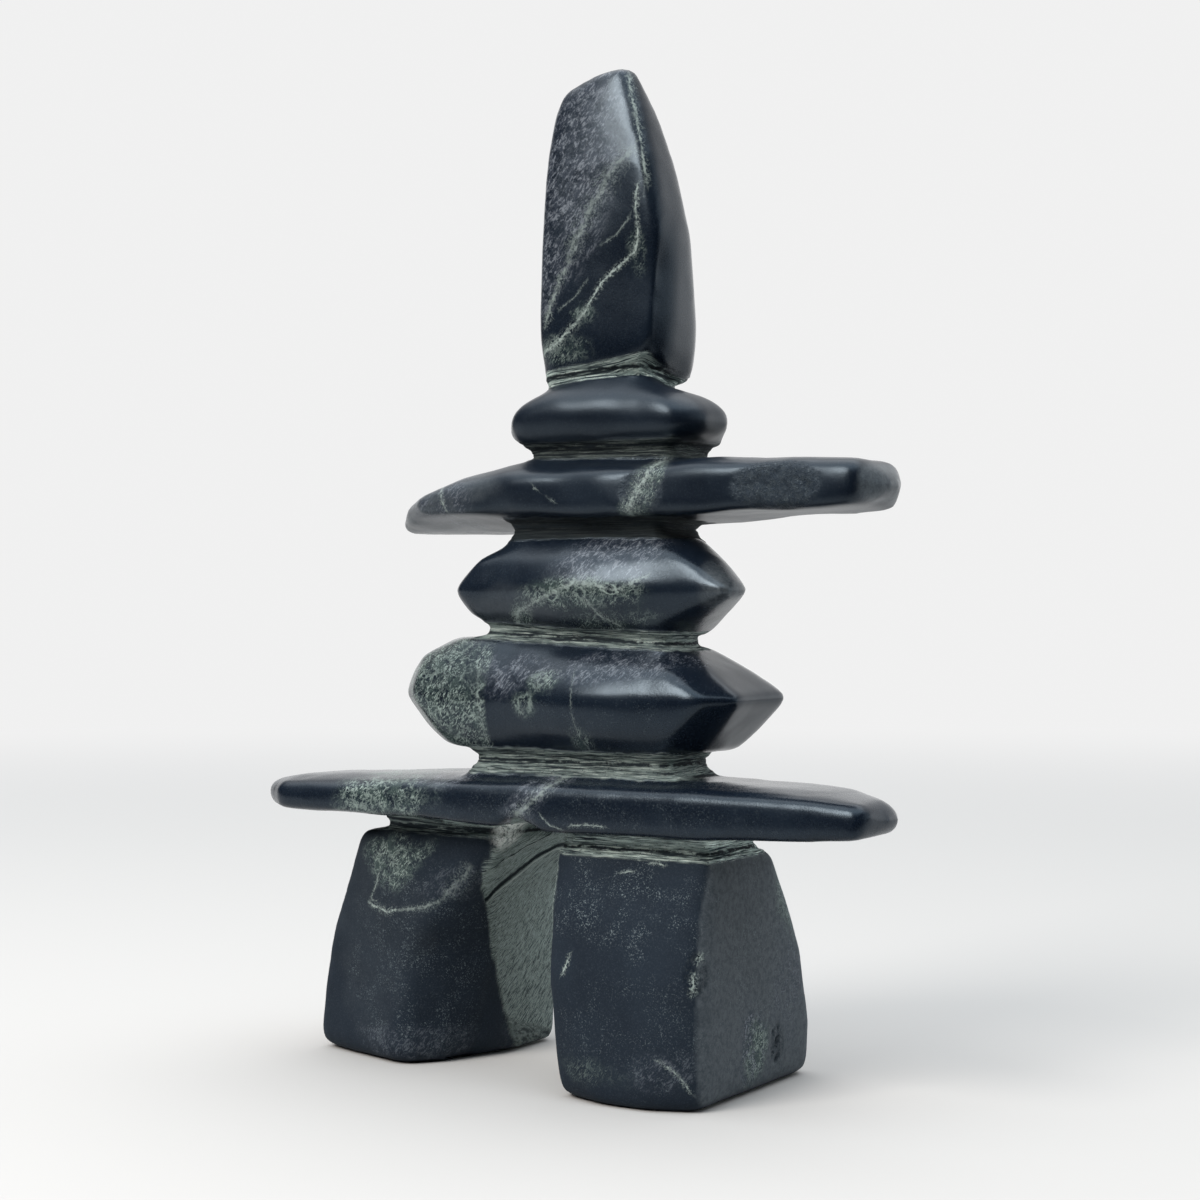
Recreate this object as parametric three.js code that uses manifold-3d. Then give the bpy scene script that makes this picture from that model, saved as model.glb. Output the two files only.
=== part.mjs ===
// An inukshuk carved from one block of dark serpentine: two legs, a lintel, a torso of two stones, an arm slab,
// a small neck stone and a tall head. Narrow rough grooves part the stones, and a rasped arch parts the legs.
// Millimetres, +Z up. The wide front faces -Y. The origin is under the middle of the whole carving, at its foot.
import * as THREE from "three";
import { ConvexGeometry } from "three/addons/geometries/ConvexGeometry.js";
import { mergeVertices } from "three/addons/utils/BufferGeometryUtils.js";
import Module from "manifold-3d";

// Heights, from the ground up
const RIGHT_LEG_HEIGHT = 60;
const RIGHT_LEG_GROOVE = 5.3;
const LEFT_LEG_GROOVE = 3.3;
const LINTEL_THICKNESS = 14.2;
const LINTEL_GROOVE = 5.7;
const LOWER_TORSO_HEIGHT = 25.6;
const TORSO_GROOVE = 4;
const UPPER_TORSO_HEIGHT = 23.7;
const ARM_GROOVE = 4.5;
const ARM_THICKNESS = 15.7;
const NECK_STONE_GROOVE = 4;
const NECK_STONE_HEIGHT = 16.1;
const HEAD_GROOVE = 3.5;
const HEAD_HEIGHT = 74.4;

// Lengths, left to right, and depths, front to back
const RIGHT_LEG_LENGTH = 45.5;
const RIGHT_LEG_DEPTH = 65.3;
const LEFT_LEG_LENGTH = 69.5;
const LEFT_LEG_DEPTH = 56;
const LINTEL_LENGTH = 183.8;
const LINTEL_DEPTH = 43;
const LOWER_TORSO_LENGTH = 100;
const LOWER_TORSO_DEPTH = 44;
const UPPER_TORSO_LENGTH = 86.8;
const UPPER_TORSO_DEPTH = 40;
const ARM_LENGTH = 147.2;
const ARM_DEPTH = 36;
const NECK_STONE_LENGTH = 62.8;
const NECK_STONE_DEPTH = 36;
const HEAD_LENGTH = 37;
const HEAD_DEPTH = 30;

// Where each stone's middle stands beside the middle of the right leg: to the right, and to the back
const LINTEL_SHIFT = [-25.5, -7.7];
const LOWER_TORSO_SHIFT = [-22.5, -5.2];
const UPPER_TORSO_SHIFT = [-15.7, -5.2];
const ARM_SHIFT = [-8.5, -7.2];
const NECK_STONE_SHIFT = [-14.9, -5.2];
const HEAD_SHIFT = [-13, -4.2];

// The arch between the legs: its width at the ground, how far its point nicks the lintel in front,
// and how far back from the right leg's front the left leg's front is set
const ARCH_WIDTH = 36.2;
const ARCH_NICK = 4.7;
const LEFT_LEG_SETBACK = 15.5;

// The left leg's block reaches over the arch by this much before the arch is cut
const ARCH_OVERHANG = 20.5;

// The radius left by grinding and polishing, on worn edges, broad ones and crisp ones
const SOFT_POLISH = 4;
const BROAD_POLISH = 3.2;
const POLISH = 2.4;
const CRISP_POLISH = 1.6;

// How far a groove is hollowed into its neck, how far a neck reaches into the stones that it joins,
// and the radius of a neck's corners in front and behind
const NECK_HOLLOW = 1.8;
const NECK_BITE = 5;
const NECK_FRONT_CORNER = 2.5;
const NECK_BACK_CORNER = 8;

// Where a slab's crowned top begins, as a share of its depth, from its front and from its back
const CROWN_START = 0.28;

// How round the curves come out
const BALL_SEGMENTS = 12;
const BALL_RINGS = 8;
const CORNER_STEPS = 4;
const HOLLOW_STEPS = 6;

const STONE_COLOUR = 0x1c2429;
const STONE_ROUGHNESS = 0.35;

const wasm = await Module();
wasm.setup();

// A closed three.js geometry as a solid that can be joined and cut
function solidOf(geometry) {
  geometry.deleteAttribute("normal");
  geometry.deleteAttribute("uv");
  const merged = mergeVertices(geometry);
  return new wasm.Manifold(
    new wasm.Mesh({
      numProp: 3,
      vertProperties: new Float32Array(merged.attributes.position.array),
      triVerts: new Uint32Array(merged.index.array),
    }),
  );
}

// A solid as a three.js geometry
function geometryOf(solid) {
  const mesh = solid.getMesh();
  const geometry = new THREE.BufferGeometry();
  geometry.setAttribute("position", new THREE.BufferAttribute(mesh.vertProperties, mesh.numProp));
  geometry.setIndex(new THREE.BufferAttribute(mesh.triVerts, 1));
  return geometry.toNonIndexed();
}

function unionOf(solids) {
  return solids.reduce((whole, solid) => whole.add(solid));
}

// Stone ground from flat faces and polished: the hull of a ball at each corner.
// A ball's poles and four of its sides lie on the axes, so the flat faces come out at their exact size.
function polishedBlock(balls) {
  const points = [];
  for (const { x, y, z, round } of balls) {
    const ball = new THREE.SphereGeometry(round, BALL_SEGMENTS, BALL_RINGS);
    ball.rotateX(Math.PI / 2);
    ball.translate(x, y, z);
    const position = ball.attributes.position;
    for (let i = 0; i < position.count; i += 1) {
      points.push(new THREE.Vector3().fromBufferAttribute(position, i));
    }
  }
  return solidOf(new ConvexGeometry(points));
}

// One level of a stone: a rectangle with its corners cut. Sides and cuts are shares of the stone's half size,
// measured from its middle; height and drops are shares of its height. A drop lowers the left or the back.
function levelBalls(stone, level) {
  const { high, left, right, front, back, round = POLISH, leftDrop = 0, backDrop = 0 } = level;
  const halfLength = stone.length / 2;
  const halfDepth = stone.depth / 2;
  const sides = {
    left: stone.x + left * halfLength + round,
    right: stone.x + right * halfLength - round,
    front: stone.y + front * halfDepth + round,
    back: stone.y + back * halfDepth - round,
  };
  const corners = [
    [sides.left, sides.front, 1, 1, level.frontLeft],
    [sides.right, sides.front, -1, 1, level.frontRight],
    [sides.right, sides.back, -1, -1, level.backRight],
    [sides.left, sides.back, 1, -1, level.backLeft],
  ];
  const balls = [];
  for (const [x, y, inX, inY, cut = level.cut] of corners) {
    const [across, deep] = cut ?? [0, 0];
    const fall = (inX > 0 ? leftDrop : 0) + (inY < 0 ? backDrop : 0);
    const z = stone.foot + round + high * (stone.height - 2 * round) - fall * stone.height;
    balls.push({ x: x + inX * across * halfLength, y, z, round });
    balls.push({ x, y: y + inY * deep * halfDepth, z, round });
  }
  return balls;
}

// The flat rim of a stone at its first or last level, for the necks that grow out of it
function rimOf(stone, level) {
  return {
    left: stone.x + (level.left * stone.length) / 2,
    right: stone.x + (level.right * stone.length) / 2,
    front: stone.y + (level.front * stone.depth) / 2,
    back: stone.y + (level.back * stone.depth) / 2,
    z: stone.foot + level.high * stone.height,
    leftDrop: (level.leftDrop ?? 0) * stone.height,
    backDrop: (level.backDrop ?? 0) * stone.height,
  };
}

// A stone with a level at each change of its slope: one convex block, or where its flanks are hollow in places,
// a block between each level and the next
function levelledStone(stone) {
  const balls = stone.levels.map((level) => levelBalls(stone, level));
  const blocks = stone.hollowFlanks ? balls.slice(1).map((own, i) => [...balls[i], ...own]) : [balls.flat()];
  return {
    solid: unionOf(blocks.map(polishedBlock)),
    underside: rimOf(stone, stone.levels[0]),
    top: rimOf(stone, stone.levels.at(-1)),
  };
}

// A slab as convex blocks between cross sections. Each section has its place along the slab, its front and back,
// and its lower and upper edges, as shares of the slab's half length, half depth and thickness. Its top is crowned.
function sectionBalls(slab, section) {
  const { along, front, back, low, high, crown, round = BROAD_POLISH } = section;
  const { lowBack = low, highBack = high } = section;
  const inward = along < 0 ? 1 : -1;
  const atEnd = section === slab.sections[0] || section === slab.sections.at(-1);
  const x = slab.x + (along * slab.length) / 2 + (atEnd ? inward * round : 0);
  const frontY = slab.y + (front * slab.depth) / 2;
  const backY = slab.y + (back * slab.depth) / 2;
  const crownInset = (backY - frontY) * CROWN_START;
  const ball = (y, share, side, radius) => ({
    x,
    y,
    z: slab.foot + share * slab.height + side * radius,
    round: radius,
  });
  return [
    ball(frontY + CRISP_POLISH, low, 1, CRISP_POLISH),
    ball(frontY + round, high, -1, round),
    ball(frontY + crownInset, crown, -1, round),
    ball(backY - crownInset, crown, -1, round),
    ball(backY - round, highBack, -1, round),
    ball(backY - CRISP_POLISH, lowBack, 1, CRISP_POLISH),
  ];
}

function sectionedSlab(slab) {
  const balls = slab.sections.map((section) => sectionBalls(slab, section));
  const blocks = balls.slice(1).map((own, i) => polishedBlock([...balls[i], ...own]));
  const rim = {
    left: slab.x - slab.length / 2,
    right: slab.x + slab.length / 2,
    front: slab.y - slab.depth / 2,
    back: slab.y + slab.depth / 2,
    leftDrop: 0,
    backDrop: 0,
  };
  return {
    solid: unionOf(blocks),
    underside: { ...rim, z: slab.foot },
    top: { ...rim, z: slab.foot + slab.height },
  };
}

// The outline of a neck: a rectangle with round corners, as points all round it
function roundedRing({ left, right, front, back }) {
  const behind = NECK_BACK_CORNER;
  const before = NECK_FRONT_CORNER;
  const corners = [
    [right - behind, back - behind, behind, 0],
    [left + behind, back - behind, behind, Math.PI / 2],
    [left + before, front + before, before, Math.PI],
    [right - before, front + before, before, (3 * Math.PI) / 2],
  ];
  const points = [];
  for (const [x, y, radius, start] of corners) {
    for (let step = 0; step <= CORNER_STEPS; step += 1) {
      const angle = start + (step / CORNER_STEPS) * (Math.PI / 2);
      points.push([x + radius * Math.cos(angle), y + radius * Math.sin(angle)]);
    }
  }
  return points;
}

// A closed solid through rings of points, each ring above the last
function loftOf(rings) {
  const count = rings[0].length;
  const positions = rings.flat(2);
  const index = [];
  for (let ring = 1; ring < rings.length; ring += 1) {
    for (let i = 0; i < count; i += 1) {
      const below = (ring - 1) * count;
      const above = ring * count;
      const next = (i + 1) % count;
      index.push(below + i, below + next, above + next);
      index.push(below + i, above + next, above + i);
    }
  }
  const last = (rings.length - 1) * count;
  for (let i = 1; i < count - 1; i += 1) {
    index.push(0, i + 1, i);
    index.push(last, last + i, last + i + 1);
  }
  const geometry = new THREE.BufferGeometry();
  geometry.setAttribute("position", new THREE.Float32BufferAttribute(positions, 3));
  geometry.setIndex(index);
  return solidOf(geometry);
}

// The rough neck left in a groove between two stones. Its sides are shares of the smaller of the two rims beside it.
// It is hollowed half way up, and may flare out towards the stone above.
function neckBetween(lower, upper, { left, right, front, back, hollow = NECK_HOLLOW, flare = 0 }) {
  const rim = {
    left: Math.max(lower.left, upper.left),
    right: Math.min(lower.right, upper.right),
    front: Math.max(lower.front, upper.front),
    back: Math.min(lower.back, upper.back),
  };
  const middle = { x: (rim.left + rim.right) / 2, y: (rim.front + rim.back) / 2 };
  const half = { x: (rim.right - rim.left) / 2, y: (rim.back - rim.front) / 2 };
  const ringAt = (share, height, drawnIn = 0) => {
    const rise = Math.min(Math.max(share, 0), 1);
    const inset = hollow * Math.sin(Math.PI * rise) - flare * rise * rise + drawnIn;
    const outline = roundedRing({
      left: middle.x - left * half.x + inset,
      right: middle.x + right * half.x - inset,
      front: middle.y - front * half.y + inset,
      back: middle.y + back * half.y - inset,
    });
    const leftDrop = lower.leftDrop + rise * (upper.leftDrop - lower.leftDrop);
    const backDrop = lower.backDrop + rise * (upper.backDrop - lower.backDrop);
    return outline.map(([x, y]) => {
      const toLeft = (rim.right - x) / (2 * half.x);
      const toBack = (y - rim.front) / (2 * half.y);
      return [x, y, height - leftDrop * toLeft - backDrop * toBack];
    });
  };
  const rings = [ringAt(0, lower.z - NECK_BITE)];
  for (let step = 0; step <= HOLLOW_STEPS; step += 1) {
    const share = step / HOLLOW_STEPS;
    rings.push(ringAt(share, lower.z + share * (upper.z - lower.z)));
  }
  rings.push(ringAt(1, upper.z + NECK_BITE, 2 * flare));
  return loftOf(rings);
}

// Each stone's foot, counted up from the ground, and the left leg's top, counted down from the lintel
const LINTEL_FOOT = RIGHT_LEG_HEIGHT + RIGHT_LEG_GROOVE;
const LEFT_LEG_HEIGHT = LINTEL_FOOT - LEFT_LEG_GROOVE;
const LOWER_TORSO_FOOT = LINTEL_FOOT + LINTEL_THICKNESS + LINTEL_GROOVE;
const UPPER_TORSO_FOOT = LOWER_TORSO_FOOT + LOWER_TORSO_HEIGHT + TORSO_GROOVE;
const ARM_FOOT = UPPER_TORSO_FOOT + UPPER_TORSO_HEIGHT + ARM_GROOVE;
const NECK_STONE_FOOT = ARM_FOOT + ARM_THICKNESS + NECK_STONE_GROOVE;
const HEAD_FOOT = NECK_STONE_FOOT + NECK_STONE_HEIGHT + HEAD_GROOVE;

// The arch stands between the right leg's left face and the left leg's inner face, and ends in the lintel
const ARCH_RIGHT = -RIGHT_LEG_LENGTH / 2;
const ARCH_LEFT = ARCH_RIGHT - ARCH_WIDTH;
const ARCH_HEIGHT = LINTEL_FOOT + ARCH_NICK;

// The right leg's front bulges half way up, and its back slopes out to the ground
function rightLeg() {
  return levelledStone({
    x: 0,
    y: 0,
    foot: 0,
    length: RIGHT_LEG_LENGTH,
    depth: RIGHT_LEG_DEPTH,
    height: RIGHT_LEG_HEIGHT,
    levels: [
      {
        high: 0,
        left: -0.83,
        right: 0.99,
        front: -1.02,
        back: 0.99,
        frontLeft: [0.5, 0.13],
        frontRight: [0.5, 0.13],
        cut: [0.04, 0.02],
        round: BROAD_POLISH,
      },
      {
        high: 0.2,
        left: -0.86,
        right: 1,
        front: -1,
        back: 1.01,
        frontLeft: [0.3, 0.08],
        frontRight: [0.3, 0.08],
        cut: [0.04, 0.02],
      },
      { high: 0.52, left: -0.9, right: 1, front: -0.98, back: 0.86, frontRight: [0.2, 0.04], cut: [0.06, 0.02] },
      { high: 0.78, left: -0.95, right: 1, front: -0.9, back: 0.62, cut: [0.06, 0.03] },
      { high: 1, left: -1, right: 1, front: -0.73, back: 0.36, cut: [0.05, 0.03] },
    ],
  });
}

// The left leg is broad at the ground and leans in as it rises. A large facet takes off its inner front corner,
// wide at the ground, and runs out in a point under the groove.
function leftLeg() {
  return levelledStone({
    x: ARCH_LEFT + ARCH_OVERHANG - LEFT_LEG_LENGTH / 2,
    y: (LEFT_LEG_DEPTH - RIGHT_LEG_DEPTH) / 2 + LEFT_LEG_SETBACK,
    foot: 0,
    length: LEFT_LEG_LENGTH,
    depth: LEFT_LEG_DEPTH,
    height: LEFT_LEG_HEIGHT,
    hollowFlanks: true,
    levels: [
      {
        high: 0,
        left: -1.07,
        right: 0.43,
        front: -1,
        back: 1,
        frontLeft: [0.9, 0.34],
        frontRight: [0.46, 0.59],
        cut: [0.1, 0.1],
        round: SOFT_POLISH,
      },
      {
        high: 0.32,
        left: -1,
        right: 0.47,
        front: -0.98,
        back: 0.98,
        frontLeft: [0.85, 0.32],
        frontRight: [0.41, 0.55],
        cut: [0.08, 0.08],
        round: SOFT_POLISH,
      },
      {
        high: 0.5,
        left: -0.91,
        right: 0.51,
        front: -0.98,
        back: 0.9,
        frontLeft: [0.7, 0.28],
        frontRight: [0.36, 0.54],
        cut: [0.08, 0.08],
        round: BROAD_POLISH,
      },
      {
        high: 0.75,
        left: -0.72,
        right: 0.88,
        front: -1,
        back: 0.84,
        frontLeft: [0.4, 0.2],
        frontRight: [0.42, 0.9],
        cut: [0.06, 0.06],
      },
      { high: 1, left: -0.5, right: 0.97, front: -1, back: 0.55, frontRight: [0.16, 0.3], cut: [0.06, 0.08] },
    ],
  });
}

function lintel() {
  return sectionedSlab({
    x: LINTEL_SHIFT[0],
    y: LINTEL_SHIFT[1],
    foot: LINTEL_FOOT,
    length: LINTEL_LENGTH,
    depth: LINTEL_DEPTH,
    height: LINTEL_THICKNESS,
    sections: [
      { along: -1, front: -0.6, back: 0.2, low: 0.18, high: 0.64, crown: 0.66 },
      { along: -0.87, front: -0.97, back: 0.65, low: 0.14, high: 0.68, crown: 0.76 },
      { along: -0.4, front: -1, back: 0.95, low: 0.12, high: 0.82, crown: 0.9 },
      { along: 0, front: -1, back: 1, low: 0, high: 0.86, crown: 0.96 },
      { along: 0.5, front: -1, back: 1, low: 0, high: 0.85, crown: 0.94 },
      { along: 0.82, front: -1, back: 0.5, low: 0.1, high: 0.83, highBack: 0.8, crown: 0.88 },
      { along: 0.95, front: -1, back: 0, low: 0.16, high: 0.76, highBack: 0.62, crown: 0.76 },
      { along: 1, front: -0.6, back: -0.1, low: 0.2, high: 0.64, crown: 0.66 },
    ],
  });
}

// Widest at a ridge half way up, which ends in a point at the right
function lowerTorso() {
  return levelledStone({
    x: LOWER_TORSO_SHIFT[0],
    y: LOWER_TORSO_SHIFT[1],
    foot: LOWER_TORSO_FOOT,
    length: LOWER_TORSO_LENGTH,
    depth: LOWER_TORSO_DEPTH,
    height: LOWER_TORSO_HEIGHT,
    levels: [
      { high: 0, left: -0.77, right: 0.78, front: -0.84, back: 0.74, cut: [0.12, 0.25] },
      { high: 0.2, left: -0.86, right: 0.86, front: -0.95, back: 0.88, cut: [0.13, 0.3] },
      {
        high: 0.53,
        left: -0.97,
        right: 1,
        front: -1,
        back: 1,
        backRight: [0.16, 0.44],
        cut: [0.13, 0.32],
        round: CRISP_POLISH,
      },
      { high: 0.76, left: -0.95, right: 0.85, front: -0.93, back: 0.8, cut: [0.12, 0.3] },
      { high: 0.93, left: -0.89, right: 0.7, front: -0.78, back: 0.62, frontLeft: [0.12, 0.12], cut: [0.12, 0.3] },
      { high: 1, left: -0.75, right: 0.68, front: -0.74, back: 0.6, cut: [0.12, 0.25], leftDrop: -0.105 },
    ],
  });
}

// Widest at a sharp ridge below half way, with its right end cut back at a slant
function upperTorso() {
  const slant = [0.42, 1.45];
  return levelledStone({
    x: UPPER_TORSO_SHIFT[0],
    y: UPPER_TORSO_SHIFT[1],
    foot: UPPER_TORSO_FOOT,
    length: UPPER_TORSO_LENGTH,
    depth: UPPER_TORSO_DEPTH,
    height: UPPER_TORSO_HEIGHT,
    levels: [
      { high: 0, left: -0.72, right: 0.6, front: -0.84, back: 0.72, cut: [0.1, 0.3], leftDrop: -0.13 },
      { high: 0.2, left: -0.93, right: 0.7, front: -0.88, back: 0.8, cut: [0.15, 0.45] },
      {
        high: 0.44,
        left: -1,
        right: 1,
        front: -1,
        back: 1,
        frontLeft: [0.16, 0.6],
        frontRight: [0.03, 0.05],
        backRight: slant,
        backLeft: [0.2, 0.6],
        round: CRISP_POLISH,
      },
      {
        high: 0.76,
        left: -0.86,
        right: 0.82,
        front: -0.93,
        back: 0.9,
        frontLeft: [0.14, 0.5],
        backRight: [0.3, 1.1],
        cut: [0.08, 0.2],
      },
      { high: 1, left: -0.56, right: 0.65, front: -0.8, back: 0.78, backRight: [0.22, 0.8], cut: [0.1, 0.25] },
    ],
  });
}

// The arms: one long slab, its left end drooping and cut at a slant, its underside falling towards the back
function armSlab() {
  return sectionedSlab({
    x: ARM_SHIFT[0],
    y: ARM_SHIFT[1],
    foot: ARM_FOOT,
    length: ARM_LENGTH,
    depth: ARM_DEPTH,
    height: ARM_THICKNESS,
    sections: [
      { along: -1, front: 0.05, back: 0.55, low: -0.14, high: 0.16, crown: 0.16, round: 2.2 },
      { along: -0.86, front: -0.5, back: 0.75, low: -0.05, lowBack: -0.17, high: 0.36, crown: 0.42 },
      { along: -0.73, front: -1, back: 0.86, low: 0.12, lowBack: -0.18, high: 0.48, crown: 0.58 },
      { along: -0.6, front: -0.99, back: 0.9, low: 0.11, lowBack: -0.18, high: 0.68, crown: 0.8 },
      { along: -0.41, front: -0.97, back: 0.97, low: 0.1, lowBack: -0.17, high: 0.78, crown: 0.94 },
      { along: -0.03, front: -1, back: 1, low: 0.06, lowBack: -0.08, high: 0.82, crown: 0.96 },
      { along: 0.45, front: -1, back: 1, low: 0.07, lowBack: 0.01, high: 0.84, crown: 0.93 },
      { along: 0.91, front: -1, back: 0.45, low: 0.13, lowBack: 0.09, high: 0.84, crown: 0.88 },
      { along: 1, front: -0.55, back: 0.1, low: 0.34, high: 0.66, crown: 0.68 },
    ],
  });
}

// The neck stone is domed, and its left end reaches lowest
function neckStone() {
  const ends = { frontLeft: [0.3, 0.75], backRight: [0.3, 0.8], cut: [0.14, 0.28] };
  return levelledStone({
    x: NECK_STONE_SHIFT[0],
    y: NECK_STONE_SHIFT[1],
    foot: NECK_STONE_FOOT,
    length: NECK_STONE_LENGTH,
    depth: NECK_STONE_DEPTH,
    height: NECK_STONE_HEIGHT,
    levels: [
      { high: 0, left: -0.8, right: 0.92, front: -0.86, back: 0.9, ...ends },
      { high: 0.08, left: -1, right: 1, front: -0.98, back: 1, ...ends },
      { high: 0.3, left: -0.97, right: 1, front: -1, back: 1, ...ends },
      { high: 0.58, left: -0.76, right: 0.88, front: -0.94, back: 0.86, ...ends },
      { high: 0.84, left: -0.6, right: 0.58, front: -0.8, back: 0.6, ...ends },
      { high: 1, left: -0.5, right: 0.44, front: -0.68, back: 0.5, cut: [0.1, 0.15], leftDrop: 0.14, backDrop: 0.16 },
    ],
  });
}

// The head narrows to the top, more in depth than in width, and its top slants down to the left
function head() {
  return levelledStone({
    x: HEAD_SHIFT[0],
    y: HEAD_SHIFT[1],
    foot: HEAD_FOOT,
    length: HEAD_LENGTH,
    depth: HEAD_DEPTH,
    height: HEAD_HEIGHT,
    levels: [
      {
        high: 0,
        left: -0.99,
        right: 0.86,
        front: -0.93,
        back: 0.86,
        backRight: [0.15, 0.25],
        cut: [0.12, 0.15],
        leftDrop: 0.055,
        backDrop: 0.05,
      },
      { high: 0.05, left: -1, right: 0.9, front: -0.99, back: 0.86, backRight: [0.15, 0.25], cut: [0.06, 0.08] },
      { high: 0.13, left: -1, right: 0.94, front: -1, back: 0.88, backRight: [0.2, 0.35], cut: [0.04, 0.06] },
      { high: 0.42, left: -0.96, right: 1, front: -1, back: 0.68, backRight: [0.3, 0.45], cut: [0.04, 0.06] },
      { high: 0.68, left: -0.93, right: 0.8, front: -0.93, back: 0.33, backRight: [0.2, 0.2], cut: [0.04, 0.06] },
      { high: 0.86, left: -0.88, right: 0.58, front: -0.8, back: 0.1, cut: [0.05, 0.06] },
      { high: 0.986, left: -0.35, right: 0.3, front: -0.7, back: -0.12, cut: [0.06, 0.06], round: 2 },
      { high: 1, left: -0.77, right: 0.36, front: -0.7, back: -0.15, cut: [0.06, 0.06], leftDrop: 0.05, round: 2 },
    ],
  });
}

// The arch runs right through between the legs, higher in front than behind. Its left wall leans over the arch,
// more and more as it rises, to a blunt point that nicks the lintel in front. Its right wall clears the right leg.
// Places on the two outlines are shares of the arch's width, from the right, and of its height.
function archCutter() {
  const mouth = [
    [0.95, -0.5],
    [0.95, 0],
    [0.77, 0.62],
    [0.61, 0.78],
    [0.46, 0.92],
    [0.24, 1],
    [0.05, 0.96],
    [0, 0.86],
    [0, -0.5],
  ];
  const farEnd = [
    [1, -0.5],
    [1, 0.62],
    [0.86, 0.7],
    [0.5, 0.77],
    [0.16, 0.8],
    [0, 0.76],
    [0, -0.5],
  ];
  const frontY = -RIGHT_LEG_DEPTH / 2;
  const outlineAt = (outline, y) =>
    outline.map(([across, up]) => new THREE.Vector3(ARCH_RIGHT - across * ARCH_WIDTH, y, up * ARCH_HEIGHT));
  const points = [...outlineAt(mouth, frontY), ...outlineAt(farEnd, frontY + RIGHT_LEG_DEPTH + LEFT_LEG_SETBACK)];
  return solidOf(new ConvexGeometry(points));
}

// The whole carving, one piece of stone
function carving() {
  const stones = {
    rightLeg: rightLeg(),
    leftLeg: leftLeg(),
    lintel: lintel(),
    lowerTorso: lowerTorso(),
    upperTorso: upperTorso(),
    arm: armSlab(),
    neckStone: neckStone(),
    head: head(),
  };
  const necks = [
    neckBetween(stones.leftLeg.top, stones.lintel.underside, { left: 0.62, right: 1, front: 0.94, back: 0.85 }),
    neckBetween(stones.rightLeg.top, stones.lintel.underside, { left: 1, right: 0.96, front: 0.98, back: 0.9 }),
    neckBetween(stones.lintel.top, stones.lowerTorso.underside, { left: 0.72, right: 0.84, front: 0.91, back: 0.7 }),
    neckBetween(stones.lowerTorso.top, stones.upperTorso.underside, { left: 1.02, right: 0.95, front: 0.92, back: 0.68 }),
    neckBetween(stones.upperTorso.top, stones.arm.underside, { left: 1, right: 0.77, front: 0.92, back: 0.82 }),
    neckBetween(stones.arm.top, stones.neckStone.underside, {
      left: 0.77,
      right: 0.77,
      front: 0.8,
      back: 0.82,
      hollow: 0.8,
      flare: 2.6,
    }),
    neckBetween(stones.neckStone.top, stones.head.underside, {
      left: 0.88,
      right: 0.98,
      front: 0.86,
      back: 1,
      hollow: 0.8,
      flare: 1,
    }),
  ];
  const whole = unionOf([...Object.values(stones).map((stone) => stone.solid), ...necks]);
  return whole.subtract(archCutter());
}

// The carving with its foot on the ground and its middle over the origin
function standingCarving() {
  const geometry = geometryOf(carving());
  geometry.computeBoundingBox();
  const { min, max } = geometry.boundingBox;
  geometry.translate(-(min.x + max.x) / 2, -(min.y + max.y) / 2, -min.z);
  geometry.computeVertexNormals();
  const material = new THREE.MeshStandardMaterial({ color: STONE_COLOUR, roughness: STONE_ROUGHNESS });
  const mesh = new THREE.Mesh(geometry, material);
  mesh.name = "inukshuk_carving";
  return mesh;
}

const inukshuk = new THREE.Group();
inukshuk.add(standingCarving());

export default inukshuk;
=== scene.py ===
import math

import bpy
import numpy as np
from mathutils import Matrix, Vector, noise


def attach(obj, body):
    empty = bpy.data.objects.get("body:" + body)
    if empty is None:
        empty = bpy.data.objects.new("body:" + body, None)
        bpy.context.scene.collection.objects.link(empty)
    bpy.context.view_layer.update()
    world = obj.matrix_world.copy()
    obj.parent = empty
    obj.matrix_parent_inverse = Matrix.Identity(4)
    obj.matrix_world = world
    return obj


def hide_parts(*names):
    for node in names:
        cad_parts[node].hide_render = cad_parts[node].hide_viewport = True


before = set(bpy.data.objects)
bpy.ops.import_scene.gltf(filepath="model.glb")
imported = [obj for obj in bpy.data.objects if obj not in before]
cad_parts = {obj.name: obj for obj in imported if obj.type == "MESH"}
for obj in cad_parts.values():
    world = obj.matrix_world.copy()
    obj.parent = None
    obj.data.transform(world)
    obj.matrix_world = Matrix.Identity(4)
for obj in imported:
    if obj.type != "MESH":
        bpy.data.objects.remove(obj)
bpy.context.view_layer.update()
print("frame loaded")

perMetre = 1000.0  # the mesh keeps metres, and its points are handled in millimetres
seedSteps = (1.0, 1.7, 0.6)  # which way another seed moves the noise


def pickOnly(piece):
    bpy.ops.object.select_all(action="DESELECT")
    piece.select_set(True)
    bpy.context.view_layer.objects.active = piece


def applyModifier(piece, kind, **settings):
    pickOnly(piece)
    modifier = piece.modifiers.new(kind.lower(), kind)
    for name, value in settings.items():
        setattr(modifier, name, value)
    bpy.ops.object.modifier_apply(modifier=modifier.name)


def smoothStep(low, high, value):
    share = np.clip((value - low) / (high - low), 0, 1)
    return share * share * (3 - 2 * share)


def readPoints(piece):
    count = len(piece.data.vertices)
    points = np.zeros(count * 3)
    normals = np.zeros(count * 3)
    piece.data.vertices.foreach_get("co", points)
    piece.data.vertices.foreach_get("normal", normals)
    return points.reshape(-1, 3) * perMetre, normals.reshape(-1, 3)


def writePoints(piece, points):
    piece.data.vertices.foreach_set("co", (points / perMetre).ravel())
    piece.data.update()


def keepMask(piece, name, values):
    layer = piece.data.attributes.new(name, "FLOAT", "POINT")
    layer.data.foreach_set("value", np.asarray(values, float))


def keepVectors(piece, name, values):
    layer = piece.data.attributes.new(name, "FLOAT_VECTOR", "POINT")
    layer.data.foreach_set("vector", np.asarray(values, float).ravel())


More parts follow.
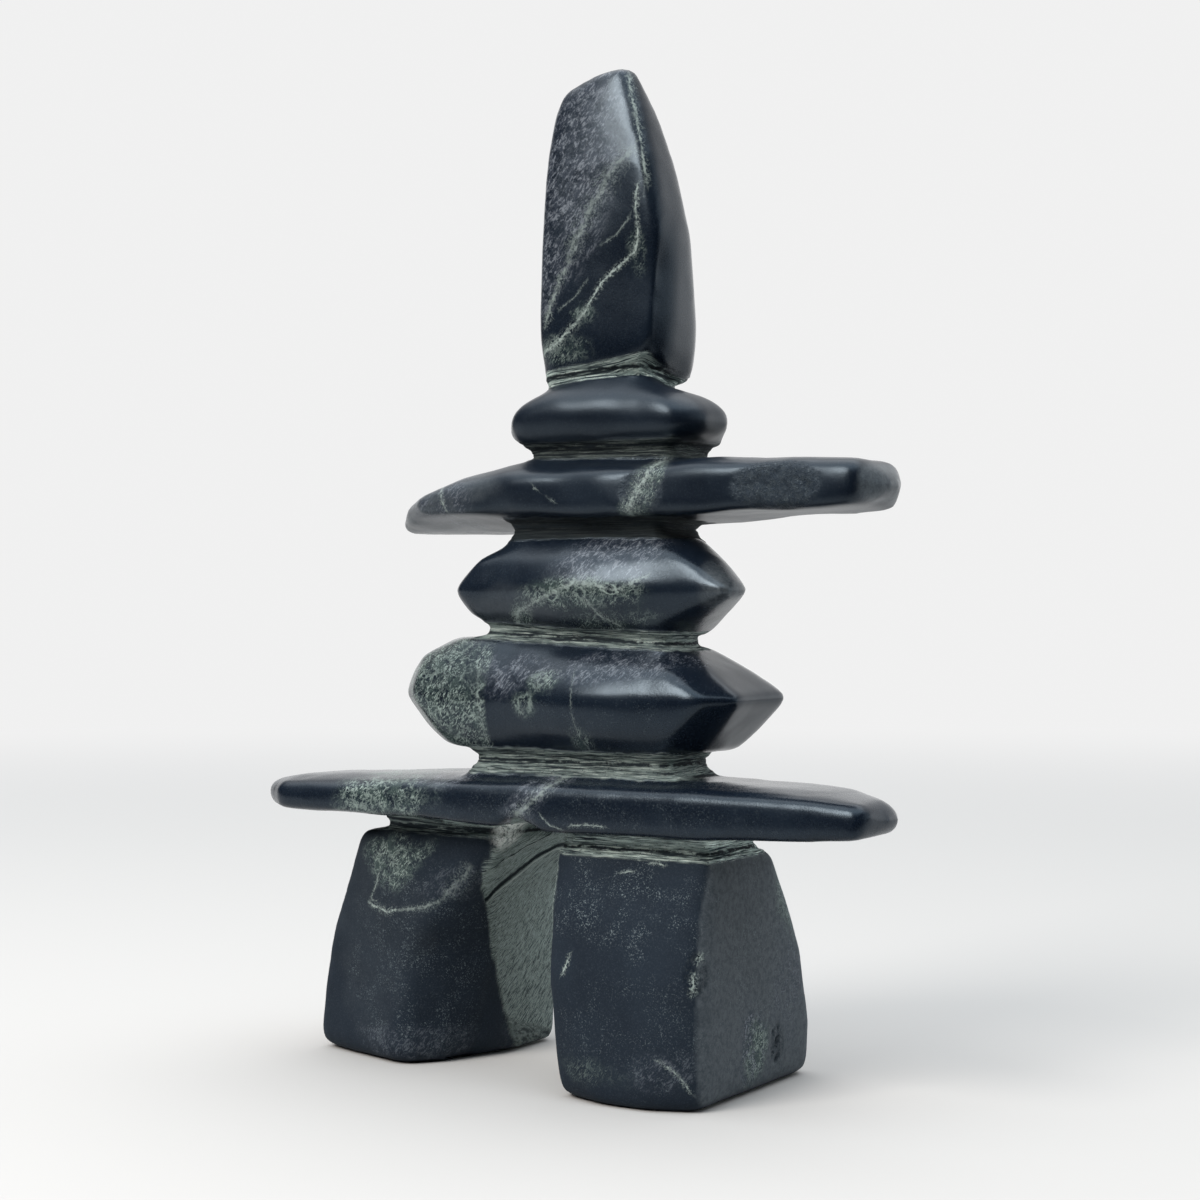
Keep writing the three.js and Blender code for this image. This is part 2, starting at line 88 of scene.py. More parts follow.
def noiseAt(points, size=1.0, seed=0.0):
    shift = Vector([seed * step for step in seedSteps])
    return np.array([noise.noise(Vector(point) / size + shift) for point in points])


# the carved stone: a finer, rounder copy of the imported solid. The merge gap and the grain are in metres.
carving = dict(
    node="inukshuk_carving",
    mergeGap=0.00002,
    grain=0.00131,
    easeFactor=0.5,
    easeRounds=4,
    polishFactor=0.5,
    polishRounds=22,
    finerFrom=0.15,  # the least roughness that gets finer faces
)

# each stone of the figure: where it lies, how round it is rubbed, how uneven and how dull its polish is
stones = dict(
    head=dict(low=179, high=260, left=-60, right=60, rubbed=1.0, uneven=0.15, dull=0.22),
    neckStone=dict(low=161, high=179, left=-60, right=60, rubbed=1.0, uneven=0.75, dull=0.32),
    arm=dict(low=141, high=161, left=-120, right=120, rubbed=0.5, uneven=0.8, dull=0.3),
    upperTorso=dict(low=114, high=141, left=-60, right=70, rubbed=0.4, uneven=0.4, dull=0.2),
    lowerTorso=dict(low=82, high=114, left=-60, right=70, rubbed=0.3, uneven=0.35, dull=0.15),
    lintel=dict(low=63.5, high=82, left=-120, right=120, rubbed=0.25, uneven=0.4, dull=0.22),
    rightLeg=dict(low=-2, high=63.5, left=4, right=70, rubbed=1.0, uneven=0.4, dull=1.0),
    leftLeg=dict(low=-2, high=63.5, left=-120, right=4, rubbed=1.0, uneven=0.5, dull=1.0),
)

# the sawn and filed necks, each named for the stone on it or, at the legs, under it
grooves = dict(
    head=dict(left=-3.3, right=24.1, front=-19, back=0.7, height=178.6, half=1.9,
              tiltX=0.105, tiltY=-0.147, tone=1.8, recess=0.4),
    neckStone=dict(left=-8.3, right=33.3, front=-20.6, back=5, height=160.9, half=2.4,
                   tone=0.3, recess=0.5),
    arm=dict(left=-14.5, right=32, front=-23, back=4.5, height=140.4, half=2.5,
             tiltY=-0.04, tone=0.06, recess=0.8),
    upperTorso=dict(left=-22, right=34.4, front=-23.4, back=0.2, height=114.1, half=2.2,
                    tiltX=-0.045, tone=1.15, recess=-0.7),
    lowerTorso=dict(left=-24.6, right=35.8, front=-25.2, back=2.8, height=82.2, half=3.1,
                    tone=1.0, recess=0.2),
    rightLeg=dict(left=2.7, right=47.3, front=-26.5, back=6.9, height=62.7, half=2.9,
                  tone=1.8, recess=-1.1),
    leftLeg=dict(left=-55.3, right=-14, front=-19.3, back=8.4, height=64.3, half=2.5,
                 tiltX=-0.02, tone=0.85, recess=-0.9),
)

# how the rough finish of a neck fades out above, below and around it
neckEdge = dict(
    reach=2.2,
    around=(0.6, 1.3),
    height=(0.95, 1.2),
    ragged=0.14,
    noise=dict(size=2.6, seed=11),
)

# the opening between the legs, left as the file left it
arch = dict(
    left=-36,
    right=8,
    middle=-8,
    overlap=6,
    top=70.6,
    front=-29,
    back=33,
    polishEdge=[(0, 14), (4.7, 9.4), (12.4, 5.4), (19.5, 3), (27, -1.6), (35.6, -5.6), (43.6, -10.2),
                (47, -14), (52.7, -17.4), (59.6, -18.5), (64, -20.5), (68, -29)],
    ragged=0.9,
    soft=0.6,
    faceLeft=(0.25, 0.5),
    faceRight=(0.5, 0.8),
    faceDown=(0.3, 0.5),
    ceiling=40,
    upperCrease=[(-20, 50.5), (-16.7, 52.7), (-14.8, 54.7), (-9.5, 56), (-5.7, 58.1), (-2, 60.5), (4, 64)],
    lowerCrease=[(-14, 41.5), (-10, 43.6), (-8.1, 45.8), (-4.1, 47.6), (2.1, 50.2), (7.8, 53.1), (14, 56)],
    creaseRight=-6,
    raised=dict(rise=(-0.3, 0.6), fall=(2, 9)),
    sunken=dict(rise=(-0.2, 0.9), fall=(5, 11)),
    step=0.9,
    sweep=(0.3, 0.011),
    foot=12,
    footSlope=0.3,
    least=0.02,
    chamfer=dict(left=-42, front=-11, corner=-1.2, share=0.33),
)


# distance outside a neck's own rectangle, and height above its slanted middle
def grooveFrame(points, groove):
    middleX = (groove["left"] + groove["right"]) / 2
    middleY = (groove["front"] + groove["back"]) / 2
    beyondX = np.abs(points[:, 0] - middleX) - (groove["right"] - groove["left"]) / 2
    beyondY = np.abs(points[:, 1] - middleY) - (groove["back"] - groove["front"]) / 2
    slopeX = groove.get("tiltX", 0) * (points[:, 0] - middleX)
    slopeY = groove.get("tiltY", 0) * (points[:, 1] - middleY)
    return np.maximum(beyondX, beyondY), points[:, 2] - groove["height"] - (slopeX + slopeY)


def inGroove(points, groove, ragged):
    beyond, rise = grooveFrame(points, groove)
    across = np.abs(rise) / groove["half"] + neckEdge["ragged"] * ragged
    around = smoothStep(*neckEdge["around"], beyond / neckEdge["reach"])
    return (1 - smoothStep(*neckEdge["height"], across)) * (1 - around)


# a line of the arch that is given as pairs, read at some place along it
def along(line, place):
    return np.interp(place, *zip(*line))


def inArch(points, normals, ragged):
    x, y, z = points.T
    leftEdge = along(arch["polishEdge"], z) + arch["ragged"] * ragged
    edge = np.where(x < arch["middle"], leftEdge, arch["front"])
    inside = (x > arch["left"]) & (x < arch["right"]) & (z < arch["top"]) & (y < arch["back"])
    leftWall = smoothStep(*arch["faceLeft"], normals[:, 0]) * (x < arch["middle"] + arch["overlap"])
    rightWall = smoothStep(*arch["faceRight"], -normals[:, 0]) * (x > arch["middle"])
    roof = smoothStep(*arch["faceDown"], -normals[:, 2]) * (z > arch["ceiling"])
    facing = np.maximum(np.maximum(leftWall, rightWall), roof)
    return inside * facing * smoothStep(-arch["soft"], arch["soft"], y - edge)


def copyCarving():
    pickOnly(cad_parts[carving["node"]])
    bpy.ops.object.duplicate()
    piece = bpy.context.active_object
    piece.name = "carvedStone"
    piece.parent = None
    bpy.ops.object.mode_set(mode="EDIT")
    bpy.ops.mesh.select_all(action="SELECT")
    bpy.ops.mesh.remove_doubles(threshold=carving["mergeGap"])
    bpy.ops.object.mode_set(mode="OBJECT")
    applyModifier(piece, "REMESH", mode="VOXEL", voxel_size=carving["grain"], adaptivity=0)
    applyModifier(piece, "SMOOTH", factor=carving["easeFactor"], iterations=carving["easeRounds"])
    return piece


def inStone(points, name):
    stone = stones[name]
    x, z = points[:, 0], points[:, 2]
    return (z >= stone["low"]) & (z < stone["high"]) & (x >= stone["left"]) & (x < stone["right"])


def byStone(points, quality):
    return sum(np.where(inStone(points, name), stones[name][quality], 0.0) for name in stones)


def unpolishedParts(points, normals):
    ragged = noiseAt(points, **neckEdge["noise"])
    necks = [inGroove(points, groove, ragged) for groove in grooves.values()]
    return necks, inArch(points, normals, ragged)


crisp = dict(side=(8, 14), depth=(-14, -8), share=0.9)  # the head's front ridge stays crisp


# the polished stones are rubbed rounder than the cuts between them
def rubEdges(piece):
    points, normals = readPoints(piece)
    necks, wall = unpolishedParts(points, normals)
    rubbed = byStone(points, "rubbed") * (1 - np.maximum(np.max(necks, axis=0), wall))
    ridge = smoothStep(*crisp["side"], points[:, 0]) * (1 - smoothStep(*crisp["depth"], points[:, 1]))
    rubbed *= 1 - crisp["share"] * ridge * inStone(points, "head")
    group = piece.vertex_groups.new(name="rubbed")
    for index, weight in enumerate(rubbed):
        group.add([index], float(weight), "REPLACE")
    applyModifier(piece, "SMOOTH", factor=carving["polishFactor"], iterations=carving["polishRounds"],
                  vertex_group="rubbed")
    piece.vertex_groups.clear()


carved = copyCarving()
rubEdges(carved)
print("carving copied and rounded:", len(carved.data.polygons), "faces")


# small areas of damage, which get finer faces and real pits
damage = [
    dict(x=65.5, y=-28, z=150, reachX=11.5, reachY=6, reachZ=6.5, depth=0.35, size=2.6),
    dict(x=48, y=8, z=11, reachX=4, reachY=3.5, reachZ=5, depth=1.1, size=2.0),
    dict(x=47, y=-32.6, z=33.5, reachX=3, reachY=4, reachZ=5.5, depth=0.4, size=2.4),
    dict(x=29, y=-28, z=149.5, reachX=6, reachY=6, reachZ=6, depth=0.22, size=3.2),
]
damageEdge = (0.75, 1.15)
pitShape = dict(seed=31, rise=(0.05, 0.45))


def inDamage(points, area):
    gap = points - np.array([area["x"], area["y"], area["z"]])
    reach = np.array([area["reachX"], area["reachY"], area["reachZ"]])
    return 1 - smoothStep(*damageEdge, np.linalg.norm(gap / reach, axis=1))


def refineRoughFaces(piece):
    points, normals = readPoints(piece)
    necks, wall = unpolishedParts(points, normals)
    broken = [inDamage(points, area) for area in damage]
    wanted = np.max(necks + broken + [wall], axis=0) > carving["finerFrom"]
    corners = np.zeros(len(piece.data.loops), dtype=int)
    starts = np.zeros(len(piece.data.polygons), dtype=int)
    piece.data.loops.foreach_get("vertex_index", corners)
    piece.data.polygons.foreach_get("loop_start", starts)
    chosen = np.add.reduceat(wanted[corners].astype(int), starts) > 0
    pickOnly(piece)
    bpy.ops.object.mode_set(mode="EDIT")
    bpy.ops.mesh.select_mode(type="FACE")
    bpy.ops.mesh.select_all(action="DESELECT")
    bpy.ops.object.mode_set(mode="OBJECT")
    piece.data.polygons.foreach_set("select", chosen)
    bpy.ops.object.mode_set(mode="EDIT")
    bpy.ops.mesh.subdivide(number_cuts=1)
    bpy.ops.mesh.select_all(action="SELECT")
    bpy.ops.mesh.quads_convert_to_tris(quad_method="BEAUTY", ngon_method="BEAUTY")
    bpy.ops.object.mode_set(mode="OBJECT")


refineRoughFaces(carved)
print("cuts and damage made finer:", len(carved.data.polygons), "triangles")


# file strokes: two slow coordinates along the stroke and a quick one across it
strokes = dict(
    along=0.07,
    across=1.8,
    wallSide=0.1,
    wallAlong=0.24,
    wallAcross=2.6,
    slant=0.53,
    footSlant=0.26,
    footAcross=0.7,
)


def inFoot(points):
    return points[:, 2] + arch["footSlope"] * points[:, 1] < arch["foot"]


def strokePlan(points, necks, wall):
    x, y, z = points.T
    level = z.copy()
    for name, neck in zip(grooves, necks):
        level = np.where(neck > 0, grooveFrame(points, grooves[name])[1], level)
    plan = np.stack([x * strokes["along"], y * strokes["along"], level * strokes["across"]], axis=1)
    rise, bow = arch["sweep"]
    lean = rise + 2 * bow * y
    swept = (z - rise * y - bow * y * y) / np.sqrt(1 + lean * lean)
    side = x * strokes["wallSide"]
    slow, quick, slant = strokes["wallAlong"], strokes["wallAcross"], strokes["slant"]
    fanned = np.stack([side, (z + y) * slow, swept * quick], axis=1)
    slanted = np.stack([side, (y + slant * z) * slow, (z - slant * y) * quick], axis=1)
    footed = np.stack([side, y * slow, (z + strokes["footSlant"] * y) * strokes["footAcross"]], axis=1)
    inWall = np.where((z > along(arch["lowerCrease"], y))[:, None], slanted, fanned)
    inWall = np.where(inFoot(points)[:, None], footed, inWall)
    return np.where((wall > arch["least"])[:, None], inWall, plan)


# the left leg's low inner corner is rubbed back in a slope
def rubCorner(points):
    x, y, z = points.T
    chamfer = arch["chamfer"]
    reach = np.maximum(along(arch["polishEdge"], z) - chamfer["corner"], 0.01)
    rising = (y - chamfer["front"]) / (chamfer["corner"] - chamfer["front"])
    falling = (reach + chamfer["corner"] - y) / reach
    near = inStone(points, "leftLeg") & (x > chamfer["left"]) & (x < arch["middle"])
    cut = near * chamfer["share"] * reach * np.clip(np.minimum(rising, falling), 0, 1)
    return np.stack([-cut, np.zeros(len(x)), np.zeros(len(x))], axis=1)


# how far the hand's unevenness and the file's strokes lift the surface, in millimetres
roughness = dict(
    polished=[dict(size=19, seed=3, lift=1.0), dict(size=8, seed=27, lift=0.22)],
    grain=dict(size=4, seed=7, lift=0.05),
    lumps=dict(size=2.2, seed=21),
    coarse=dict(seed=5, squeeze=(1, 1, 0.6)),
    fine=dict(seed=9),
    neck=dict(coarse=0.34, fine=0.16, lumps=0.08),
    wall=dict(coarse=0.04, lumps=0.05),
)

# the fronts aren't flat: shallow swells and hollows left by the rubbing
swells = [
    dict(stone="arm", x=-7, z=154, wide=16, tall=9, height=0.9),
    dict(stone="arm", x=27, z=152, wide=11, tall=9, height=-0.8),
    dict(stone="arm", x=46, z=156, wide=14, tall=8, height=0.7),
    dict(stone="arm", x=66, z=151, wide=16, tall=9, height=-0.6),
    dict(stone="upperTorso", x=8, z=126, wide=36, tall=15, height=2.6),
    dict(stone="head", x=12, z=243, wide=15, tall=20, height=0.5),
    dict(stone="neckStone", x=2, z=172, wide=26, tall=9, height=1.2),
    dict(stone="lowerTorso", x=13, z=97, wide=38, tall=15, height=2.4),
]
swellBack = -12

# a long shallow hollow down the left leg's front
frontCrease = dict(upper=(-29, 51), lower=(-48, 22), wide=3.0, depth=0.9, back=-8,
                   start=(-4, 4), end=(0.7, 1.1))

# how far the head's lower right front turns towards the side
headTurn = dict(depth=2.2, side=(4, 26), height=(202, 232), back=(-19, -9))


def polishLift(points):
    waves, grain = roughness["polished"], roughness["grain"]
    uneven = sum(wave["lift"] * noiseAt(points, wave["size"], wave["seed"]) for wave in waves)
    fine = grain["lift"] * noiseAt(points, grain["size"], grain["seed"])
    return byStone(points, "uneven") * uneven + fine


def cutLift(points, neck, wall, plan):
    coarse = noiseAt(plan * roughness["coarse"]["squeeze"], seed=roughness["coarse"]["seed"])
    fine = noiseAt(plan, seed=roughness["fine"]["seed"])
    lumps = noiseAt(points, **roughness["lumps"])
    shares = roughness["neck"]
    inNeck = neck * (shares["coarse"] * coarse + shares["fine"] * fine + shares["lumps"] * lumps)
    shares = roughness["wall"]
    return inNeck + wall * (shares["coarse"] * coarse + shares["lumps"] * lumps)


# the two creases of the arch: a raised step over the upper one, a sunken step over the lower one
def creaseLift(points, wall):
    x, y, z = points.T
    aboveUpper = z - along(arch["upperCrease"], y)
    aboveLower = z - along(arch["lowerCrease"], y)
    raised = smoothStep(*arch["raised"]["rise"], aboveUpper)
    raised *= 1 - smoothStep(*arch["raised"]["fall"], aboveUpper)
    sunken = smoothStep(*arch["sunken"]["rise"], aboveLower)
    sunken *= 1 - smoothStep(*arch["sunken"]["fall"], aboveLower)
    return wall * arch["step"] * (raised - sunken) * (x < arch["creaseRight"])


def pitDepth(points):
    depth = np.zeros(len(points))
    for area in damage:
        pits = smoothStep(*pitShape["rise"], noiseAt(points, area["size"], pitShape["seed"]))
        depth += inDamage(points, area) * area["depth"] * pits
    return depth


def swellLift(points):
    x, y, z = points.T
    lift = np.zeros(len(points))
    for swell in swells:
        gap = np.hypot((x - swell["x"]) / swell["wide"], (z - swell["z"]) / swell["tall"])
        near = inStone(points, swell["stone"]) & (y < swellBack)
        lift += near * swell["height"] * (1 - smoothStep(0, 1, gap))
    return lift


def frontCreaseDepth(points):
    x, y, z = points.T
    (x0, z0), (x1, z1) = frontCrease["upper"], frontCrease["lower"]
    length = math.hypot(x1 - x0, z1 - z0)
    aside = ((x - x0) * (z1 - z0) - (z - z0) * (x1 - x0)) / length
    travel = ((x - x0) * (x1 - x0) + (z - z0) * (z1 - z0)) / length
    seen = smoothStep(*frontCrease["start"], travel) * (1 - smoothStep(*frontCrease["end"], travel / length))
    seen *= inStone(points, "leftLeg") * (y < frontCrease["back"])
    return frontCrease["depth"] * seen * np.exp(-(aside / frontCrease["wide"]) ** 2)


def headTurnDepth(points):
    x, y, z = points.T
    turned = smoothStep(*headTurn["side"], x) * (1 - smoothStep(*headTurn["height"], z))
    turned *= 1 - smoothStep(*headTurn["back"], y)
    return headTurn["depth"] * turned * turned * inStone(points, "head")


def carveRelief(points, necks, wall, plan):
    neck = np.max(necks, axis=0)
    polished = 1 - np.maximum(neck, wall)
    lift = polished * polishLift(points) + cutLift(points, neck, wall, plan)
    lift += creaseLift(points, wall) + swellLift(points)
    return lift - pitDepth(points) - frontCreaseDepth(points) - headTurnDepth(points)


points, normals = readPoints(carved)
necks, wall = unpolishedParts(points, normals)
plan = strokePlan(points, necks, wall)
relief = carveRelief(points, necks, wall, plan)
writePoints(carved, points + normals * relief[:, None] + rubCorner(points))
pickOnly(carved)
bpy.ops.object.shade_smooth()
print("relief worked")


# pale veins on each stone's front, each a path of side and height places
veins = dict(
    head=[
        dict(width=1.9, strength=0.4, path=[(23.5, 236), (18, 231), (13.5, 225.3), (8, 215.7), (4.5, 208)]),
        dict(width=0.9, strength=0.6, path=[(4.5, 208), (2.1, 203.6), (-0.5, 198), (-2.8, 192)]),
        dict(width=0.55, strength=1.0,
             path=[(24.3, 226), (23.7, 219), (24.4, 214), (23.2, 209.5), (19.7, 206.8), (13.9, 202),
                   (8, 193.2)]),
        dict(width=0.9, strength=1.0, path=[(8, 193.2), (2.1, 188.5), (-3.9, 185.2)]),
        dict(width=0.3, strength=0.5, path=[(13.9, 211.5), (18, 213.6), (22.4, 218.3)]),
        dict(width=0.45, strength=0.8, path=[(18.4, 255), (21.7, 245), (24.8, 235), (26.8, 225)]),
        dict(width=0.25, strength=0.5, path=[(2, 196), (7, 199.5), (10, 203)]),
    ],
    arm=[
        dict(width=1.4, strength=0.8, path=[(32, 158), (29.5, 152), (26.5, 147), (24.5, 143.5)]),
        dict(width=0.3, strength=0.8, path=[(-28.7, 144), (-28.4, 142), (-28.6, 140.9)]),
        dict(width=0.5, strength=0.6, path=[(-33, 156), (-30.6, 150), (-28.2, 143.7)]),
        dict(width=0.3, strength=0.8, path=[(-2.5, 151.6), (-1, 150.3)]),
        dict(width=0.3, strength=0.7, path=[(1.8, 148.4), (4, 147.6)]),
    ],
    upperTorso=[
        dict(width=0.8, strength=0.65,
             path=[(-10, 116.5), (-7.5, 120), (1, 123), (11.5, 127.5), (23.2, 125.5), (31, 129)]),
        dict(width=0.5, strength=0.6, path=[(14, 124), (17, 119), (22, 116.5)]),
    ],
    lowerTorso=[
        dict(width=0.3, strength=0.28, path=[(10.5, 106), (11.3, 100.8), (11.6, 95), (12.4, 89)]),
        dict(width=0.6, strength=0.22, path=[(-19, 107), (-17.5, 99), (-16.8, 91), (-16.5, 85)]),
    ],
    lintel=[
        dict(width=1.3, strength=0.5, path=[(7, 80.5), (3.7, 75.9), (-3.4, 70.1), (-6, 67.5)]),
        dict(width=0.25, strength=0.8, path=[(2.5, 69.7), (5.5, 67.1), (9, 66.2)]),
        dict(width=0.35, strength=0.8, path=[(10.7, 67.3), (16, 67.8), (21.6, 67.6)]),
    ],
    leftLeg=[
        dict(width=0.8, strength=0.9, path=[(-60.5, 42.3), (-54, 40.6), (-49, 41.2)]),
        dict(width=0.8, strength=0.5, path=[(-49, 41.2), (-41, 42.4), (-36.1, 44.7)]),
        dict(width=1.6, strength=0.35, path=[(-36.1, 44.7), (-31, 49.5), (-26.8, 54)]),
        dict(width=0.4, strength=0.6, path=[(-60, 43), (-57, 47), (-55.5, 52)]),
    ],
    rightLeg=[
        dict(width=0.5, strength=1.0, path=[(10.4, 31), (11.6, 33.4), (12.2, 36)]),
        dict(width=0.4, strength=0.7, path=[(38, 13), (41, 11), (43.5, 8.5), (45.5, 5)]),
        dict(width=0.4, strength=0.9, path=[(30.5, 58.8), (32.5, 59), (35, 58.6)]),
        dict(width=0.35, strength=0.8, path=[(23, 56.2), (26.5, 56.6)]),
        dict(width=0.5, strength=1.2, deepest=-22, path=[(47.4, 38.6), (46.9, 36)]),
        dict(width=0.5, strength=1.2, deepest=-22, path=[(46.5, 34), (46.3, 30.8), (46, 28.6)]),
    ],
)

# soft patches of clouding, netting, specks and haze on the fronts and the right side. The haze patches are
# partly painted light: a painted sheen by the head's ridge, painted reflections that lighten the right ends
# of the arm and upper torso and the right leg's side, and the lit side of the left leg's crease
patches = dict(
    head=[
        dict(kind="fibrous", x=5, z=234, wide=17, tall=24, lean=-0.25, strength=1.0),
        dict(kind="fibrous", x=-4, z=205, wide=9, tall=17, lean=-0.35, strength=0.9),
        dict(kind="fibrous", x=8, z=212, wide=7, tall=12, lean=-0.5, strength=0.55),
        dict(kind="netted", x=2, z=187, wide=9, tall=4.5, lean=-0.2, strength=0.6),
        dict(kind="netted", x=8, z=194, wide=4, tall=3, lean=-0.2, strength=0.7),
        dict(kind="netted", x=24, z=209, wide=3, tall=6, strength=0.5),
        # painted highlight: the head's glow beside its right ridge
        dict(kind="sheenAndHaze", x=17, z=243, wide=4.5, tall=13, lean=0.25, strength=0.8),
    ],
    arm=[
        dict(kind="netted", x=29, z=150, wide=5.5, tall=9, lean=-0.4, strength=1.2),
        dict(kind="fibrous", x=29, z=150, wide=7, tall=9, lean=-0.4, strength=0.35),
        dict(kind="fibrous", x=-32, z=149, wide=11, tall=9, strength=0.6),
        dict(kind="sheenAndHaze", x=-40, z=148, wide=18, tall=12, strength=0.7),
        dict(kind="sheenAndHaze", x=-22, z=152, wide=12, tall=5, strength=0.5),
        # painted reflection: the arm's right end is lightened
        dict(kind="sheenAndHaze", x=90, z=150, wide=20, tall=20, strength=1.0, edge=[(86.8, 160), (86.0, 143)]),
        dict(kind="specked", x=65, z=150, wide=13, tall=7, strength=0.6),
    ],
    upperTorso=[
        # painted reflection: the upper torso's right end is lightened
        dict(kind="sheenAndHaze", x=54, z=127, wide=11, tall=12, strength=1.0),
        dict(kind="sheenAndHaze", x=-12, z=120, wide=20, tall=7, strength=0.3),
        dict(kind="fibrous", x=20, z=133, wide=17, tall=7, lean=-0.6, strength=0.9, wander=0.2),
        dict(kind="netted", x=13, z=124.6, wide=19, tall=4.6, lean=-0.3, strength=1.1, wander=0.15),
        dict(kind="netted", x=-7, z=119.5, wide=4, tall=4, strength=1.0),
        dict(kind="netted", x=18, z=118, wide=13, tall=4, lean=-0.3, strength=0.5),
    ],
    lowerTorso=[
        dict(kind="netted", x=-32, z=98, wide=24, tall=20, strength=1.0, edge=[(-15.8, 84), (-15.8, 112)]),
        dict(kind="fibrous", x=-6, z=105, wide=13, tall=6, lean=-0.5, strength=0.9),
        dict(kind="netted", x=1, z=103, wide=5.5, tall=3.4, lean=-0.5, strength=0.9),
        dict(kind="netted", x=-3, z=97, wide=4.2, tall=3.8, strength=0.9),
        dict(kind="fibrous", x=22, z=106, wide=20, tall=5, lean=0.1, strength=0.7),
        dict(kind="netted", x=12, z=88, wide=3.5, tall=5, strength=0.6),
        dict(kind="specked", x=20, z=92, wide=26, tall=12, strength=0.25),
    ],
    lintel=[
        dict(kind="netted", x=-47, z=72, wide=18, tall=8, lean=-0.4, strength=1.25),
        dict(kind="fibrous", x=-30, z=78, wide=13, tall=3.5, lean=-0.8, strength=0.8),
        dict(kind="fibrous", x=-1, z=73, wide=7, tall=7, lean=-0.8, strength=0.9),
        dict(kind="specked", x=10, z=72, wide=70, tall=7, strength=0.35),
    ],
    leftLeg=[
        dict(kind="netted", x=-47, z=54, wide=13, tall=9, strength=1.2, edge=[(-47.3, 48.2), (-36.7, 59.8)]),
        dict(kind="fibrous", x=-32, z=49, wide=10, tall=5, lean=-0.6, strength=0.3),
        dict(kind="fibrous", x=-46, z=5, wide=22, tall=5, lean=0.2, strength=0.35),
        dict(kind="specked", x=-45, z=28, wide=28, tall=30, strength=0.75),
        # painted light: the lighter side of the leg's front crease
        dict(kind="sheenAndHaze", x=-58, z=32, wide=20, tall=30, strength=0.14, edge=[(-47, 20), (-33, 45.9)]),
    ],
    rightLeg=[
        dict(kind="specked", x=24, z=48, wide=26, tall=13, lean=0.2, strength=1.0),
        dict(kind="specked", x=28, z=20, wide=24, tall=20, strength=0.45),
        dict(kind="netted", x=19, z=8, wide=12, tall=4, lean=0.5, strength=0.25),
        dict(kind="fibrous", x=39, z=10, wide=8, tall=5, lean=-0.3, strength=0.35),
    ],
)
sidePatches = [
    dict(kind="fibrous", y=-5, z=13, wide=7, tall=12, strength=1.5),
    dict(kind="netted", y=-3, z=11, wide=7, tall=10, strength=1.5),
    dict(kind="fibrous", y=16, z=26, wide=12, tall=16, strength=0.5),
    dict(kind="specked", y=0, z=30, wide=30, tall=32, strength=0.6),
    # painted reflection: the right leg's whole right side is lightened
    dict(kind="sheenAndHaze", y=0, z=30, wide=90, tall=90, strength=1.0),
]
backPatches = [
    dict(kind="netted", size=26, seed=51, least=0.12, strength=0.8),
    dict(kind="fibrous", size=34, seed=57, least=0.1, strength=0.6),
    dict(kind="specked", size=22, seed=63, least=0.0, strength=0.5),
]

# how veins fade at their ends, beside their paths, towards the back and where two of them meet
veinEdge = dict(ends=1.5, beside=(1.5, 2.9), leastWidth=0.8, deepest=-4, depth=8, apart=2.0, core=0.8)
patchEdge = dict(front=(-8, 2), back=(4, 12), fade=(0.55, 1.1), wander=0.45, noise=dict(size=8, seed=41))
sideEdge = dict(x=(44, 47), facing=(0.6, 0.85), fade=(0.4, 1.1))
backFade = 0.3
farAway = 99.0  # further than any mark reaches
lineLimit = 9.0  # further than this from a line, none shows
lineRange = (-lineLimit, lineLimit)


# distance from a path, the factor to signed vein widths, and how strongly the vein shows
def veinDistance(points, vein):
    x, z = points[:, 0], points[:, 2]
    best = np.full(len(points), farAway)
    side = np.ones(len(points))
    reached = np.zeros(len(points))
    walked = 0
    for (x0, z0), (x1, z1) in zip(vein["path"], vein["path"][1:]):
        length = math.hypot(x1 - x0, z1 - z0)
        stepX, stepZ = (x1 - x0) / length, (z1 - z0) / length
        travel = (x - x0) * stepX + (z - z0) * stepZ
        inside = np.clip(travel, 0, length)
        gap = np.hypot(x - x0 - inside * stepX, z - z0 - inside * stepZ)
        nearer = gap < best
        best = np.where(nearer, gap, best)
        side = np.where(nearer, np.where((x - x0) * stepZ - (z - z0) * stepX > 0, 1, -1), side)
        reached = np.where(nearer, walked + travel, reached)
        walked += length
    end = veinEdge["ends"]
    ends = smoothStep(-end, end, reached) * (1 - smoothStep(walked - end, walked + end, reached))
    beside = smoothStep(*veinEdge["beside"], best / max(vein["width"], veinEdge["leastWidth"]))
    deepest = vein.get("deepest", veinEdge["deepest"])
    front = 1 - smoothStep(deepest - veinEdge["depth"], deepest, points[:, 1])
    return best, side / vein["width"], ends * (1 - beside) * front * vein["strength"]


def layVeins(points):
    nearest = np.full(len(points), farAway)
    second = np.full(len(points), farAway)
    across = np.full(len(points), lineLimit)
    share = np.zeros(len(points))
    for stone, paths in veins.items():
        here = inStone(points, stone)
        for vein in paths:
            gap, factor, strength = veinDistance(points, vein)
            gap = np.where(here, gap, farAway)
            take = gap < nearest
            second = np.where(take, nearest, np.minimum(second, gap))
            across = np.where(take, gap * factor, across)
            share = np.where(take, strength, share)
            nearest = np.where(take, gap, nearest)
    apart = smoothStep(0, veinEdge["apart"], second - nearest)
    return across, share * np.where(np.abs(across) < veinEdge["core"], 1, apart)


# one on the left of a straight line that is given from its lower end, none on the right
def leftOf(points, line, soft=0.6):
    (x0, z0), (x1, z1) = line
    gap = (x1 - x0) * (points[:, 2] - z0) - (z1 - z0) * (points[:, 0] - x0)
    return smoothStep(-soft, soft, gap / math.hypot(x1 - x0, z1 - z0))


# how far out a point lies of a leaned oval with a wandering edge
def ovalReach(across, high, patch, wander):
    leaned = across + patch.get("lean", 0) * high
    loose = patch.get("wander", patchEdge["wander"])
    return np.hypot(leaned / patch["wide"], high / patch["tall"]) + loose * wander


